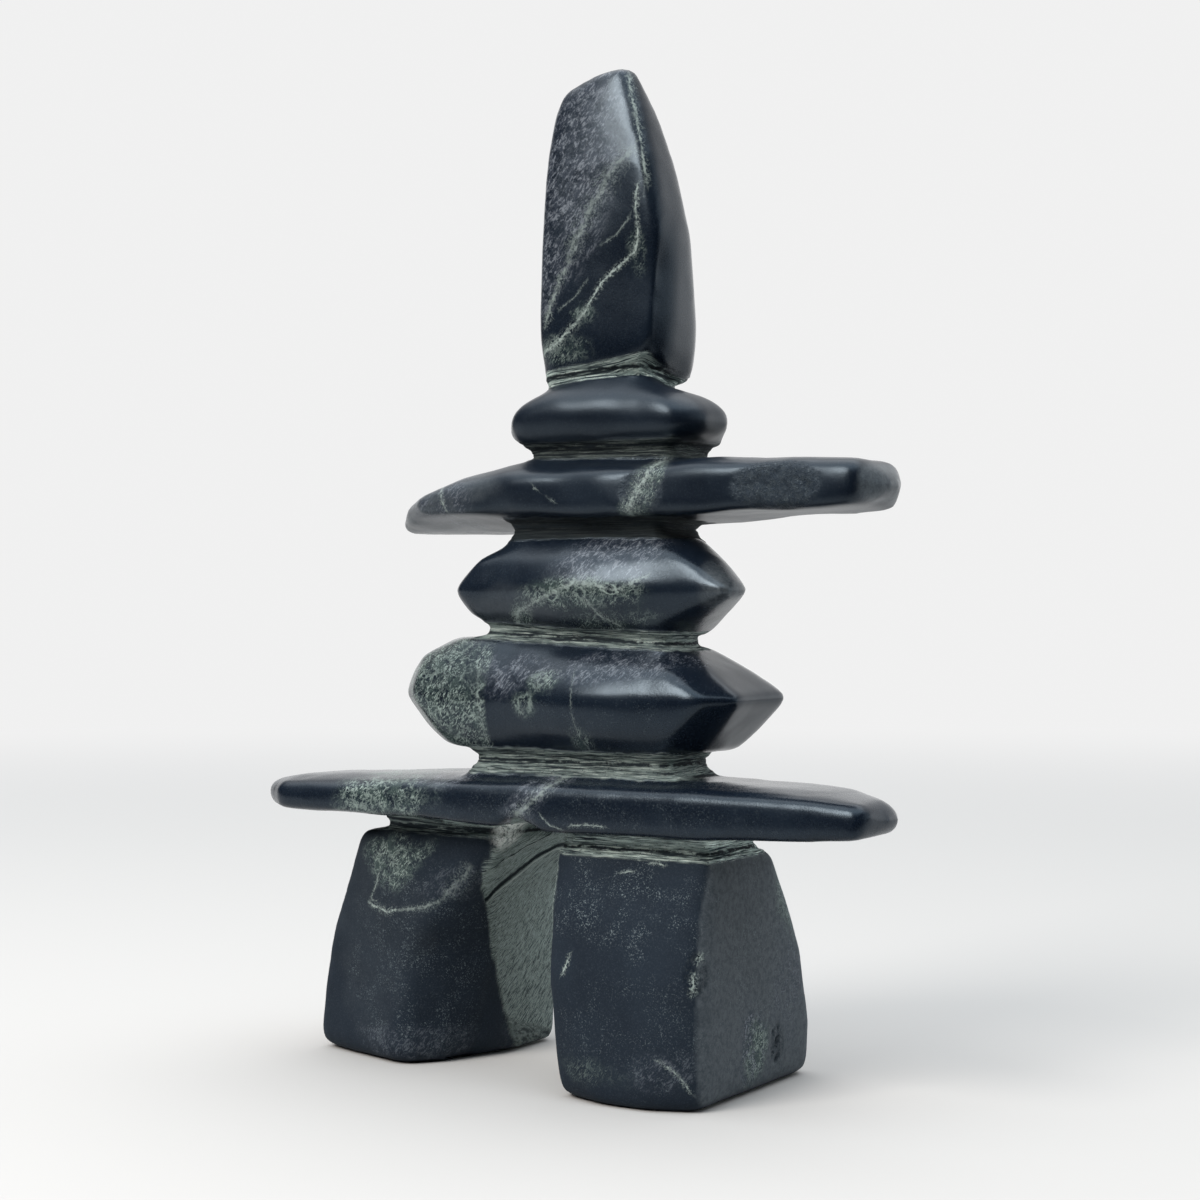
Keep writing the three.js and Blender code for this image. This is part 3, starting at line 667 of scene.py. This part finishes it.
def layPatches(points, normals):
    x, y, z = points.T
    masks = {kind: np.zeros(len(points)) for kind in ("fibrous", "netted", "specked", "sheenAndHaze")}
    wander = noiseAt(points, **patchEdge["noise"])
    front = 1 - smoothStep(*patchEdge["front"], y)
    right = smoothStep(*sideEdge["x"], x) * smoothStep(*sideEdge["facing"], normals[:, 0])
    right *= inStone(points, "rightLeg")
    back = smoothStep(*patchEdge["back"], y)

    def keepLargest(kind, mask):
        masks[kind] = np.maximum(masks[kind], mask)

    for stone, spots in patches.items():
        here = front * inStone(points, stone)
        for patch in spots:
            far = ovalReach(x - patch["x"], z - patch["z"], patch, wander)
            mask = patch["strength"] * (1 - smoothStep(*patchEdge["fade"], far)) * here
            if "edge" in patch:
                mask *= leftOf(points, patch["edge"])
            keepLargest(patch["kind"], mask)
    for patch in sidePatches:
        far = ovalReach(y - patch["y"], z - patch["z"], patch, wander)
        keepLargest(patch["kind"], patch["strength"] * (1 - smoothStep(*sideEdge["fade"], far)) * right)
    for patch in backPatches:
        cloud = noiseAt(points, patch["size"], patch["seed"])
        share = smoothStep(patch["least"], patch["least"] + backFade, cloud)
        keepLargest(patch["kind"], patch["strength"] * share * back)
    return masks


# how pale the unpolished stone is: the arch's wall, its upper facet, its low part and its foot. The upper
# facet and the necks' right-facing sides get painted light: they are lightened as if lit more
paleness = dict(
    wall=1.35,
    paintedLitFacet=0.15,
    low=dict(less=0.25, height=(12, 34)),
    foot=dict(less=0.55, soft=1.5),
    paintedLitNeckSide=dict(more=0.6, facing=(0.3, 0.8)),
)

# the palest place at the arch's upper left: a painted highlight, near-white colour where the stone lies in
# the lintel's shade
paintedGlarePlace = dict(middle=(-14, -19, 62.5), reach=(4, 8), top=(65.5, 67))


def layTone(points, normals, necks, wall):
    x, y, z = points.T
    tone = np.ones(len(points))
    for groove, neck in zip(grooves.values(), necks):
        tone = np.where(neck > 0, groove["tone"], tone)
    # painted light: neck faces that turn to the right are lightened
    tone *= 1 + paleness["paintedLitNeckSide"]["more"] * smoothStep(*paleness["paintedLitNeckSide"]["facing"], normals[:, 0])
    soft = paleness["foot"]["soft"]
    foot = 1 - smoothStep(arch["foot"] - soft, arch["foot"] + soft, z + arch["footSlope"] * y)
    # painted light: the arch's facet above the lower crease is lightened
    paintedLitFacet = (z > along(arch["lowerCrease"], y)) & (x < arch["middle"])
    low = 1 - smoothStep(*paleness["low"]["height"], z)
    onWall = paleness["wall"] + paleness["paintedLitFacet"] * paintedLitFacet
    onWall -= paleness["low"]["less"] * low + paleness["foot"]["less"] * foot
    return np.where(wall > arch["least"], onWall, tone)


# painted highlight: how strongly the near-white colour shows at the arch's upper left
def layPaintedGlare(points):
    away = np.linalg.norm(points - np.array(paintedGlarePlace["middle"]), axis=1)
    near = 1 - smoothStep(*paintedGlarePlace["reach"], away)
    return near * (1 - smoothStep(*paintedGlarePlace["top"], points[:, 2]))


# height above each neck's recess and above the two creases of the arch, where lines of painted shade and
# painted highlight are drawn
def layLines(points, necks, wall):
    x, y, z = points.T
    recess = np.full(len(points), lineLimit)
    for groove, neck in zip(grooves.values(), necks):
        recess = np.where(neck > 0, grooveFrame(points, groove)[1] - groove["recess"], recess)
    onWall = (wall > arch["least"]) & (x < arch["middle"])
    low = np.where(onWall, z - along(arch["lowerCrease"], y), lineLimit)
    high = np.where(onWall, z - along(arch["upperCrease"], y), lineLimit)
    low, high = np.clip(low, *lineRange), np.clip(high, *lineRange)
    return dict(recess=recess, lowCrease=low, highCrease=high)


def markStone(piece):
    points, normals = readPoints(piece)
    across, share = layVeins(points)
    masks = dict(
        unpolished=np.maximum(np.max(necks, axis=0), wall),
        filed=wall,
        veinAcross=across,
        veinShare=share,
        tone=layTone(points, normals, necks, wall),
        paintedGlare=layPaintedGlare(points),
        dull=byStone(points, "dull"),
        broken=np.max([inDamage(points, area) for area in damage], axis=0),
        **layLines(points, necks, wall),
        **layPatches(points, normals),
    )
    for name, mask in masks.items():
        keepMask(piece, name, mask)
    keepVectors(piece, "strokes", plan)


markStone(carved)
print("veins, patches and strokes laid out")


# inputs are named or numbered: a socket is linked to one, anything else becomes its value
def addNode(tree, kind, inputs=None, **settings):
    node = tree.nodes.new(kind)
    for name, value in settings.items():
        setattr(node, name, value)
    for name, value in (inputs or {}).items():
        if isinstance(value, bpy.types.NodeSocket):
            tree.links.new(value, node.inputs[name])
        else:
            node.inputs[name].default_value = value
    return node


def attribute(tree, name, output="Fac"):
    return addNode(tree, "ShaderNodeAttribute", attribute_name=name).outputs[output]


# the node tree that the first socket among some values belongs to
def treeOf(values):
    return next(value.id_data for value in values if isinstance(value, bpy.types.NodeSocket))


def maths(operation, *values):
    inputs = dict(enumerate(values))
    return addNode(treeOf(values), "ShaderNodeMath", inputs, operation=operation).outputs[0]


def plus(first, second):
    return maths("ADD", first, second)


def minus(first, second):
    return maths("SUBTRACT", first, second)


def times(first, second):
    return maths("MULTIPLY", first, second)


def over(first, second):
    return maths("DIVIDE", first, second)


def larger(first, second):
    return maths("MAXIMUM", first, second)


def addShare(value, share, base):
    return maths("MULTIPLY_ADD", value, share, base)


def vectorMath(operation, inputs, output="Vector"):
    tree = treeOf(inputs.values())
    return addNode(tree, "ShaderNodeVectorMath", inputs, operation=operation).outputs[output]


def ramp(value, low, high, start=0.0, end=1.0):
    values = {"Value": value, "From Min": low, "From Max": high, "To Min": start, "To Max": end}
    node = addNode(value.id_data, "ShaderNodeMapRange", values, interpolation_type="SMOOTHSTEP")
    return node.outputs["Result"]


def blend(mask, below, above):
    inputs = {"Factor": mask}
    for slot, value in ((6, below), (7, above)):
        inputs[slot] = value if isinstance(value, bpy.types.NodeSocket) else (*value, 1)
    return addNode(mask.id_data, "ShaderNodeMix", inputs, data_type="RGBA").outputs[2]


colours = dict(
    deep=(0.0026, 0.0054, 0.0115),
    smoky=(0.0055, 0.0098, 0.0175),
    grain=(0.024, 0.033, 0.046),
    milky=(0.025, 0.031, 0.044),
    fibre=(0.140, 0.157, 0.182),
    mossy=(0.032, 0.048, 0.047),
    net=(0.225, 0.280, 0.258),
    speck=(0.140, 0.172, 0.186),
    vein=(0.310, 0.370, 0.350),
    # a pale haze, also used as painted sheen and painted reflection
    sheenHaze=(0.072, 0.084, 0.094),
    # near black, for cracks and pits and for painted shade lines
    cutBlackAndShade=(0.006, 0.009, 0.011),
    cutGrey=(0.064, 0.084, 0.082),
    cutPale=(0.165, 0.205, 0.192),
    # pale, for file ridges and for painted highlights along the arch's creases
    cutRidgeAndHighlight=(0.390, 0.445, 0.415),
    # near white, for the painted highlight at the arch's upper left
    glareWhite=(0.8, 0.84, 0.81),
    scar=(0.018, 0.024, 0.030),
    shine=(0.68, 0.85, 1.0),
)

# the stone's irregular fields, with their waves per millimetre, or per unit of the stroke plan. Most are
# shown from the lower to the higher of two levels, at strengths that run from the first to the second of
# "between". Those with a reach wander to both sides of nought.
fields = dict(
    cloud=dict(waves=0.05, detail=4, rough=0.6, levels=(0.35, 0.68)),
    grain=dict(waves=2.2, detail=3, rough=0.75, levels=(0.5, 0.66)),
    # this field also breaks up the painted sheen
    sheenHaze=dict(waves=0.6, detail=6, rough=0.8, levels=(0.35, 0.62), between=(0.5, 1.0)),
    mottle=dict(waves=0.35, detail=5, rough=0.75, levels=(0.42, 0.54), between=(0.12, 1.0)),
    fibre=dict(waves=1.0, detail=4, rough=0.6, twist=1.6, levels=(0.49, 0.59)),
    smallSpecks=dict(waves=2.4, detail=3, rough=0.75, levels=(0.56, 0.66)),
    largeSpecks=dict(waves=0.9, detail=5, rough=0.75, twist=1.0, levels=(0.6, 0.66)),
    gathered=dict(waves=0.16, detail=4, rough=0.7, levels=(0.42, 0.58), between=(0.15, 1.0)),
    scars=dict(waves=0.9, detail=5, rough=0.75, levels=(0.45, 0.62)),
    netBreaks=dict(waves=0.4, detail=5, rough=0.65, levels=(0.45, 0.55)),
    flakes=dict(waves=1.15, detail=3, rough=0.6, twist=2.0, levels=(0.53, 0.6)),
    clumps=dict(waves=0.22, detail=4, rough=0.65, levels=(0.42, 0.56), between=(0.12, 1.0)),
    moss=dict(waves=0.3, detail=6, rough=0.75, twist=1.0, levels=(0.42, 0.58), between=(0.05, 0.9)),
    eyeEdge=dict(waves=0.5, detail=5, rough=0.65, reach=2.8),
    eyeBreaks=dict(waves=0.7, detail=4, rough=0.65, levels=(0.38, 0.48)),
    veinSlow=dict(waves=0.35, detail=3, rough=0.55, reach=2.0),
    veinQuick=dict(waves=1.4, detail=4, rough=0.55, reach=1.6),
    veinCore=dict(waves=0.8, detail=5, rough=0.7, levels=(0.42, 0.54), between=(0.2, 1.0)),
    veinHalo=dict(waves=1.8, detail=4, rough=0.7, twist=1.0, levels=(0.5, 0.6)),
    broadStrokes=dict(waves=1.0, detail=3, rough=0.6),
    narrowStrokes=dict(waves=2.3, detail=4, rough=0.7),
    lineBreaks=dict(waves=0.12, detail=4, rough=0.7),
    cutPits=dict(waves=1.5, detail=3, rough=0.7, levels=(0.6, 0.68), between=(0.0, 0.8)),
    glareWhite=dict(waves=0.9, detail=5, rough=0.75, levels=(0.4, 0.56), between=(0.1, 0.95)),
    gloss=dict(waves=0.5, detail=4, rough=0.7),
    skin=dict(waves=1.4, detail=4, rough=0.65),
    skinPits=dict(waves=0.8, detail=5, rough=0.75, levels=(0.4, 0.6)),
)


def rawField(place, values):
    inputs = {"Vector": place, "Scale": values["waves"], "Detail": values["detail"],
              "Roughness": values["rough"], "Distortion": values.get("twist", 0.0)}
    return addNode(place.id_data, "ShaderNodeTexNoise", inputs).outputs


def plainField(place, name):
    return rawField(place, fields[name])["Fac"]


def field(place, name):
    values = fields[name]
    return ramp(plainField(place, name), *values["levels"], *values.get("between", (0.0, 1.0)))


def wander(value, reach):
    return times(minus(value, 0.5), reach)


def wanderingField(place, name):
    return wander(plainField(place, name), fields[name]["reach"])


# dark eyes with pale rims in the netting of the two torso stones
eyes = [
    dict(x=4.8, z=124.2, wide=1.5, tall=1.2, strength=0.9),
    dict(x=20.9, z=125.9, wide=1.8, tall=1.3, strength=0.9),
    dict(x=13.0, z=124.9, wide=1.2, tall=1.5, strength=0.6),
    dict(x=-15.8, z=99.2, wide=1.7, tall=2.0, strength=0.8),
    dict(x=-2.8, z=97.0, wide=2.4, tall=2.5, strength=0.6),
    dict(x=0.5, z=103.2, wide=2.8, tall=1.6, strength=0.5),
    dict(x=1.8, z=102.8, wide=1.2, tall=0.8, strength=0.5),
]
eyeShape = dict(rim=(0.05, 0.32), hole=(0.55, 0.85))
cells = dict(size=2.3, width=0.12, bend=3.8, bendWaves=1.2, strength=0.55)
fibreLean = math.radians(-52)
fibreSize = (2.2, 1.5, 0.75)  # along, into and across the fibres
grainStrength = (0.2, 0.35)  # on the polished stones, on the dull ones
speckLeast = 0.06
veinShape = dict(core=(0.1, 0.7), halo=(0.5, 2.6), haloStrength=0.7)


# lines between rounded cells, bent by a slower field
def cellLines(place):
    slow = dict(waves=cells["bendWaves"] / cells["size"], detail=3, rough=0.5)
    drift = rawField(place, slow)["Color"]
    centred = vectorMath("SUBTRACT", {0: drift, 1: (0.5, 0.5, 0.5)})
    bent = vectorMath("MULTIPLY_ADD", {0: centred, 1: (cells["bend"],) * 3, 2: place})
    inputs = {"Vector": bent, "Scale": 1 / cells["size"]}
    node = addNode(place.id_data, "ShaderNodeTexVoronoi", inputs, feature="DISTANCE_TO_EDGE")
    return ramp(node.outputs["Distance"], 0.0, cells["width"], 1.0, 0.0)


def eyeRims(place):
    rims = 0.0
    holes = 0.0
    uneven = wanderingField(place, "eyeEdge")
    parts = addNode(place.id_data, "ShaderNodeSeparateXYZ", {"Vector": place}).outputs
    for eye in eyes:
        across = over(minus(parts["X"], eye["x"]), eye["wide"])
        high = over(minus(parts["Z"], eye["z"]), eye["tall"])
        squared = addShare(across, across, times(high, high))
        far = plus(maths("SQRT", squared), uneven)
        rim = ramp(maths("ABSOLUTE", minus(far, 1.0)), *eyeShape["rim"], 1.0, 0.0)
        rims = larger(rims, times(rim, eye["strength"]))
        holes = larger(holes, ramp(far, *eyeShape["hole"], eye["strength"], 0.0))
    return times(rims, field(place, "eyeBreaks")), holes


def netting(tree, place, leaned):
    netted = attribute(tree, "netted")
    broken = times(field(place, "netBreaks"), cells["strength"])
    coarse = times(cellLines(place), broken)
    flakes = times(field(leaned, "flakes"), field(place, "clumps"))
    rims, holes = eyeRims(place)
    solid = minus(1.0, holes)
    lines = larger(times(larger(coarse, flakes), solid), rims)
    moss = times(field(place, "moss"), solid)
    return times(lines, netted), times(moss, netted)


def veinLines(tree, place):
    slow = wanderingField(place, "veinSlow")
    quick = wanderingField(place, "veinQuick")
    shifted = plus(plus(attribute(tree, "veinAcross"), slow), quick)
    gap = maths("ABSOLUTE", shifted)
    core = times(ramp(gap, *veinShape["core"], 1.0, 0.0), field(place, "veinCore"))
    halo = times(ramp(gap, *veinShape["halo"], veinShape["haloStrength"], 0.0),
                 field(place, "veinHalo"))
    return times(larger(core, halo), attribute(tree, "veinShare"))


# the polished stone, from its dark ground up to its veins
def polishedColour(tree, place):
    turned = {"Vector": place, "Rotation": (0, fibreLean, 0), "Scale": fibreSize}
    leaned = addNode(tree, "ShaderNodeMapping", turned, vector_type="TEXTURE").outputs["Vector"]
    colour = blend(field(place, "cloud"), colours["deep"], colours["smoky"])
    grainShare = ramp(attribute(tree, "dull"), 0.0, 1.0, *grainStrength)
    fibrous = times(attribute(tree, "fibrous"), field(place, "mottle"))
    lines, moss = netting(tree, place, leaned)
    specked = times(attribute(tree, "specked"), field(place, "gathered"))
    specks = larger(field(place, "smallSpecks"), field(place, "largeSpecks"))
    veinMask = veinLines(tree, place)
    layers = [
        (times(field(place, "grain"), grainShare), "grain"),
        # haze, and painted sheen or reflection where those patches stand for light
        (times(attribute(tree, "sheenAndHaze"), field(place, "sheenHaze")), "sheenHaze"),
        (fibrous, "milky"),
        (times(field(leaned, "fibre"), fibrous), "fibre"),
        (moss, "mossy"),
        (lines, "net"),
        (times(specks, larger(specked, speckLeast)), "speck"),
        (times(attribute(tree, "broken"), field(place, "scars")), "scar"),
        (veinMask, "vein"),
    ]
    for mask, name in layers:
        colour = blend(mask, colour, colours[name])
    return colour, larger(veinMask, lines)


# where the file's broad and narrow strokes turn pale, ridged and black. The second strength is the arch's.
cutLevels = dict(
    pale=(0.4, 0.6),
    paleLeast=(0.0, 0.5),
    ridge=(0.54, 0.62),
    ridgeStrength=(0.85, 0.3),
    narrowCrack=(0.4, 0.47),
    broadCrack=(0.39, 0.46),
    crackStrength=(1.0, 0.72),
    # how strongly the painted highlights along the arch's creases show
    edgeHighlightStrength=0.8,
)

# thin lines at a height over a crease or a neck's recess: painted highlights along the creases' edges, and
# black lines of painted shade under the creases' steps and in the necks' recesses, where they also stand for
# dark cracks
paintedEdgeHighlights = [
    dict(over="lowCrease", height=-0.5, width=0.6, length=9.0, seen=0.2),
    dict(over="highCrease", height=-0.2, width=0.55, length=9.0, seen=0.2),
]
paintedShadeAndCracks = [
    dict(over="lowCrease", height=0.8, width=0.8, length=5.0, seen=0.25),
    dict(over="highCrease", height=0.7, width=0.45, length=5.0, seen=0.36),
    dict(over="recess", height=0.0, width=0.6, length=2.0, seen=0.38),
]
lineShape = dict(core=0.3, detail=4, rough=0.55, reach=1.2, fade=0.1)


def thinLine(tree, place, line):
    values = dict(waves=1 / line["length"], detail=lineShape["detail"], rough=lineShape["rough"])
    bend = wander(rawField(place, values)["Fac"], lineShape["reach"])
    gap = plus(minus(attribute(tree, line["over"]), line["height"]), bend)
    far = maths("ABSOLUTE", gap)
    drawn = ramp(far, lineShape["core"] * line["width"], line["width"], 1.0, 0.0)
    broken = plainField(place, "lineBreaks")
    return times(drawn, ramp(broken, line["seen"], line["seen"] + lineShape["fade"]))


def thinLines(tree, place, lines):
    mask = 0.0
    for line in lines:
        mask = larger(mask, thinLine(tree, place, line))
    return mask


# the unpolished stone of the necks and the arch
def cutColour(tree, place, broad, narrow):
    filed = attribute(tree, "filed")

    def byFile(name):
        return ramp(filed, 0.0, 1.0, *cutLevels[name])

    pale = ramp(broad, *cutLevels["pale"], byFile("paleLeast"), 1.0)
    ridges = times(ramp(narrow, *cutLevels["ridge"]), byFile("ridgeStrength"))
    cracks = larger(ramp(narrow, *cutLevels["narrowCrack"], 1.0, 0.0),
                    ramp(broad, *cutLevels["broadCrack"], 1.0, 0.0))
    colour = blend(pale, colours["cutGrey"], colours["cutPale"])
    colour = blend(ridges, colour, colours["cutRidgeAndHighlight"])
    colour = blend(times(cracks, byFile("crackStrength")), colour, colours["cutBlackAndShade"])
    colour = blend(field(place, "cutPits"), colour, colours["cutBlackAndShade"])
    colour = vectorMath("SCALE", {0: colour, "Scale": attribute(tree, "tone")})
    # painted highlights along the crease edges, then painted shade lines under the crease steps and in the
    # necks' recesses, which also stand for dark cracks
    edgeHighlights = times(thinLines(tree, place, paintedEdgeHighlights), cutLevels["edgeHighlightStrength"])
    colour = blend(edgeHighlights, colour, colours["cutRidgeAndHighlight"])
    return blend(thinLines(tree, place, paintedShadeAndCracks), colour, colours["cutBlackAndShade"])


# how rough the finish is: polished and dull stones, and what marks, damage, chance and the file add
polish = dict(
    stones=(0.15, 0.8),
    marked=0.15,
    broken=0.2,
    uneven=0.08,
    cut=0.78,
    level=0.4,
    pits=-8.0,
    skin=dict(strength=0.4, distance=0.00006),
    strokes=dict(strength=0.8, distance=0.0003),
)


def bump(height, values, normal=None):
    inputs = {"Height": height, "Strength": values["strength"], "Distance": values["distance"]}
    if normal:
        inputs["Normal"] = normal
    return addNode(height.id_data, "ShaderNodeBump", inputs).outputs["Normal"]


def newMaterial(name):
    material = bpy.data.materials.new(name)
    material.use_nodes = True
    return material, material.node_tree, material.node_tree.nodes["Principled BSDF"]


def stoneMaterial():
    material, tree, shader = newMaterial("polishedSerpentine")
    metres = addNode(tree, "ShaderNodeTexCoord").outputs["Object"]
    place = vectorMath("SCALE", {0: metres, "Scale": perMetre})
    cut = attribute(tree, "unpolished")
    damaged = attribute(tree, "broken")
    plan = attribute(tree, "strokes", "Vector")
    broad = plainField(plan, "broadStrokes")
    narrow = plainField(plan, "narrowStrokes")

    polished, marked = polishedColour(tree, place)
    colour = blend(cut, polished, cutColour(tree, place, broad, narrow))
    # painted highlight: near-white colour at the arch's upper left
    paintedGlareShare = times(attribute(tree, "paintedGlare"), field(place, "glareWhite"))
    tree.links.new(blend(paintedGlareShare, colour, colours["glareWhite"]), shader.inputs["Base Color"])
    shader.inputs["Specular Tint"].default_value = (*colours["shine"], 1)
    shader.inputs["Specular IOR Level"].default_value = polish["level"]

    gloss = ramp(attribute(tree, "dull"), 0.0, 1.0, *polish["stones"])
    gloss = addShare(marked, polish["marked"], gloss)
    gloss = addShare(damaged, polish["broken"], gloss)
    gloss = addShare(plainField(place, "gloss"), polish["uneven"], gloss)
    tree.links.new(larger(gloss, times(cut, polish["cut"])), shader.inputs["Roughness"])

    pitted = times(field(place, "skinPits"), polish["pits"])
    skin = addShare(pitted, damaged, plainField(place, "skin"))
    fine = bump(skin, polish["skin"])
    rough = bump(times(plus(broad, narrow), cut), polish["strokes"], fine)
    tree.links.new(rough, shader.inputs["Normal"])
    return material


carved.data.materials.clear()
carved.data.materials.append(stoneMaterial())
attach(carved, "root")
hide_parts(carving["node"])
print("stone finished")


studio = dict(
    floorSize=12.0,  # in metres, as the other lengths of the studio
    floorColour=(0.462, 0.461, 0.459),
    floorReach=(0.55, 1.7),
    floorFront=(0.1, 0.36),
    backdrop=0.875,
    plain=(1.0, 1.0, 1.0),
    dark=(0.0, 0.0, 0.0),
    towardCamera=(0.515, -0.857, 0.0),
    towardBright=(0.35, 0.94, 0.0),
)


# plain paper that turns into the backdrop's own light further off, so no horizon shows.
# On the camera's side it looks pale but throws no light, so the stone's fronts stay dark.
def makeFloor():
    bpy.ops.mesh.primitive_plane_add(size=studio["floorSize"])
    floor = bpy.context.active_object
    floor.name = "paleFloor"
    material, tree, shader = newMaterial("palePaper")
    place = addNode(tree, "ShaderNodeTexCoord").outputs["Object"]
    away = ramp(vectorMath("LENGTH", {0: place}, "Value"), *studio["floorReach"])
    ahead = vectorMath("DOT_PRODUCT", {0: place, 1: studio["towardCamera"]}, "Value")
    ended = ramp(ahead, *studio["floorFront"])
    unlit = larger(away, ended)
    tree.links.new(blend(unlit, studio["floorColour"], studio["dark"]), shader.inputs["Base Color"])
    thrown = times(away, minus(1.0, ended))
    seen = addNode(tree, "ShaderNodeLightPath").outputs["Is Camera Ray"]
    glow = addNode(tree, "ShaderNodeMix", {"Factor": seen, "A": thrown, "B": unlit}).outputs["Result"]
    tree.links.new(times(glow, studio["backdrop"]), shader.inputs["Emission Strength"])
    shader.inputs["Emission Color"].default_value = (*studio["plain"], 1)
    shader.inputs["Roughness"].default_value = 1.0
    shader.inputs["Specular IOR Level"].default_value = 0.0
    floor.data.materials.append(material)


softbox = dict(place=(-0.28, -1.10, 0.95), aim=(0, 0, 0.12), wide=0.62, tall=0.6, power=20.0,
               colour=(1.0, 0.94, 0.88))


def makeSoftbox():
    place = Vector(softbox["place"])
    bpy.ops.object.light_add(type="AREA", location=place)
    light = bpy.context.active_object
    light.name = "softbox"
    light.data.shape = "RECTANGLE"
    light.data.size = softbox["wide"]
    light.data.size_y = softbox["tall"]
    light.data.energy = softbox["power"]
    light.data.color = softbox["colour"]
    light.rotation_euler = (Vector(softbox["aim"]) - place).to_track_quat("-Z", "Y").to_euler()


# the room's light by direction: bright behind, strong overhead, dim and cool on the camera's side.
# Each entry starts with the stretch over which it changes. Where two more numbers follow, they are
# the strengths at the stretch's two ends.
room = dict(
    side=(-0.25, 0.5, 0.05, 1.3),
    toward=(0.0, 0.95),
    dim=(0.0, 1.0, 1.0, 0.05),
    behind=(0.15, 0.5, 1.0, 0.6),
    slope=(0.0, 0.5, 0.0, 0.04),
    zenith=(0.52, 0.88, 0.0, 2.7),
    cool=(-0.3, 0.5),
    coolColour=(0.88, 0.95, 1.0),
)


def makeWorld():
    world = bpy.data.worlds.new("studioAir")
    bpy.context.scene.world = world
    world.use_nodes = True
    tree = world.node_tree
    back = tree.nodes["Background"]
    direction = addNode(tree, "ShaderNodeTexCoord").outputs["Generated"]
    toward = vectorMath("DOT_PRODUCT", {0: direction, 1: studio["towardCamera"]}, "Value")
    bright = vectorMath("DOT_PRODUCT", {0: direction, 1: studio["towardBright"]}, "Value")
    height = addNode(tree, "ShaderNodeSeparateXYZ", {"Vector": direction}).outputs["Z"]
    dim = ramp(ramp(toward, *room["toward"]), *room["dim"])
    level = times(ramp(bright, *room["side"]), dim)
    level = times(level, ramp(height, *room["behind"]))
    level = larger(level, ramp(height, *room["slope"]))
    level = larger(level, ramp(height, *room["zenith"]))
    seen = addNode(tree, "ShaderNodeLightPath").outputs["Is Camera Ray"]
    strength = addNode(tree, "ShaderNodeMix", {"Factor": seen, "A": level, "B": studio["backdrop"]})
    cool = times(ramp(toward, *room["cool"]), minus(1.0, seen))
    tree.links.new(strength.outputs["Result"], back.inputs["Strength"])
    tree.links.new(blend(cool, studio["plain"], room["coolColour"]), back.inputs["Color"])


view = dict(place=(0.31347, -0.52055, 0.123), azimuth=31, lens=70, sensor=36)


def makeCamera():
    turn = (math.radians(90), 0, math.radians(view["azimuth"]))
    bpy.ops.object.camera_add(location=view["place"], rotation=turn)
    camera = bpy.context.active_object
    camera.name = "photoCamera"
    camera.data.lens = view["lens"]
    camera.data.sensor_width = view["sensor"]
    bpy.context.scene.camera = camera


makeFloor()
makeSoftbox()
makeWorld()
makeCamera()
bpy.context.scene.view_settings.view_transform = "Standard"
print("studio ready")
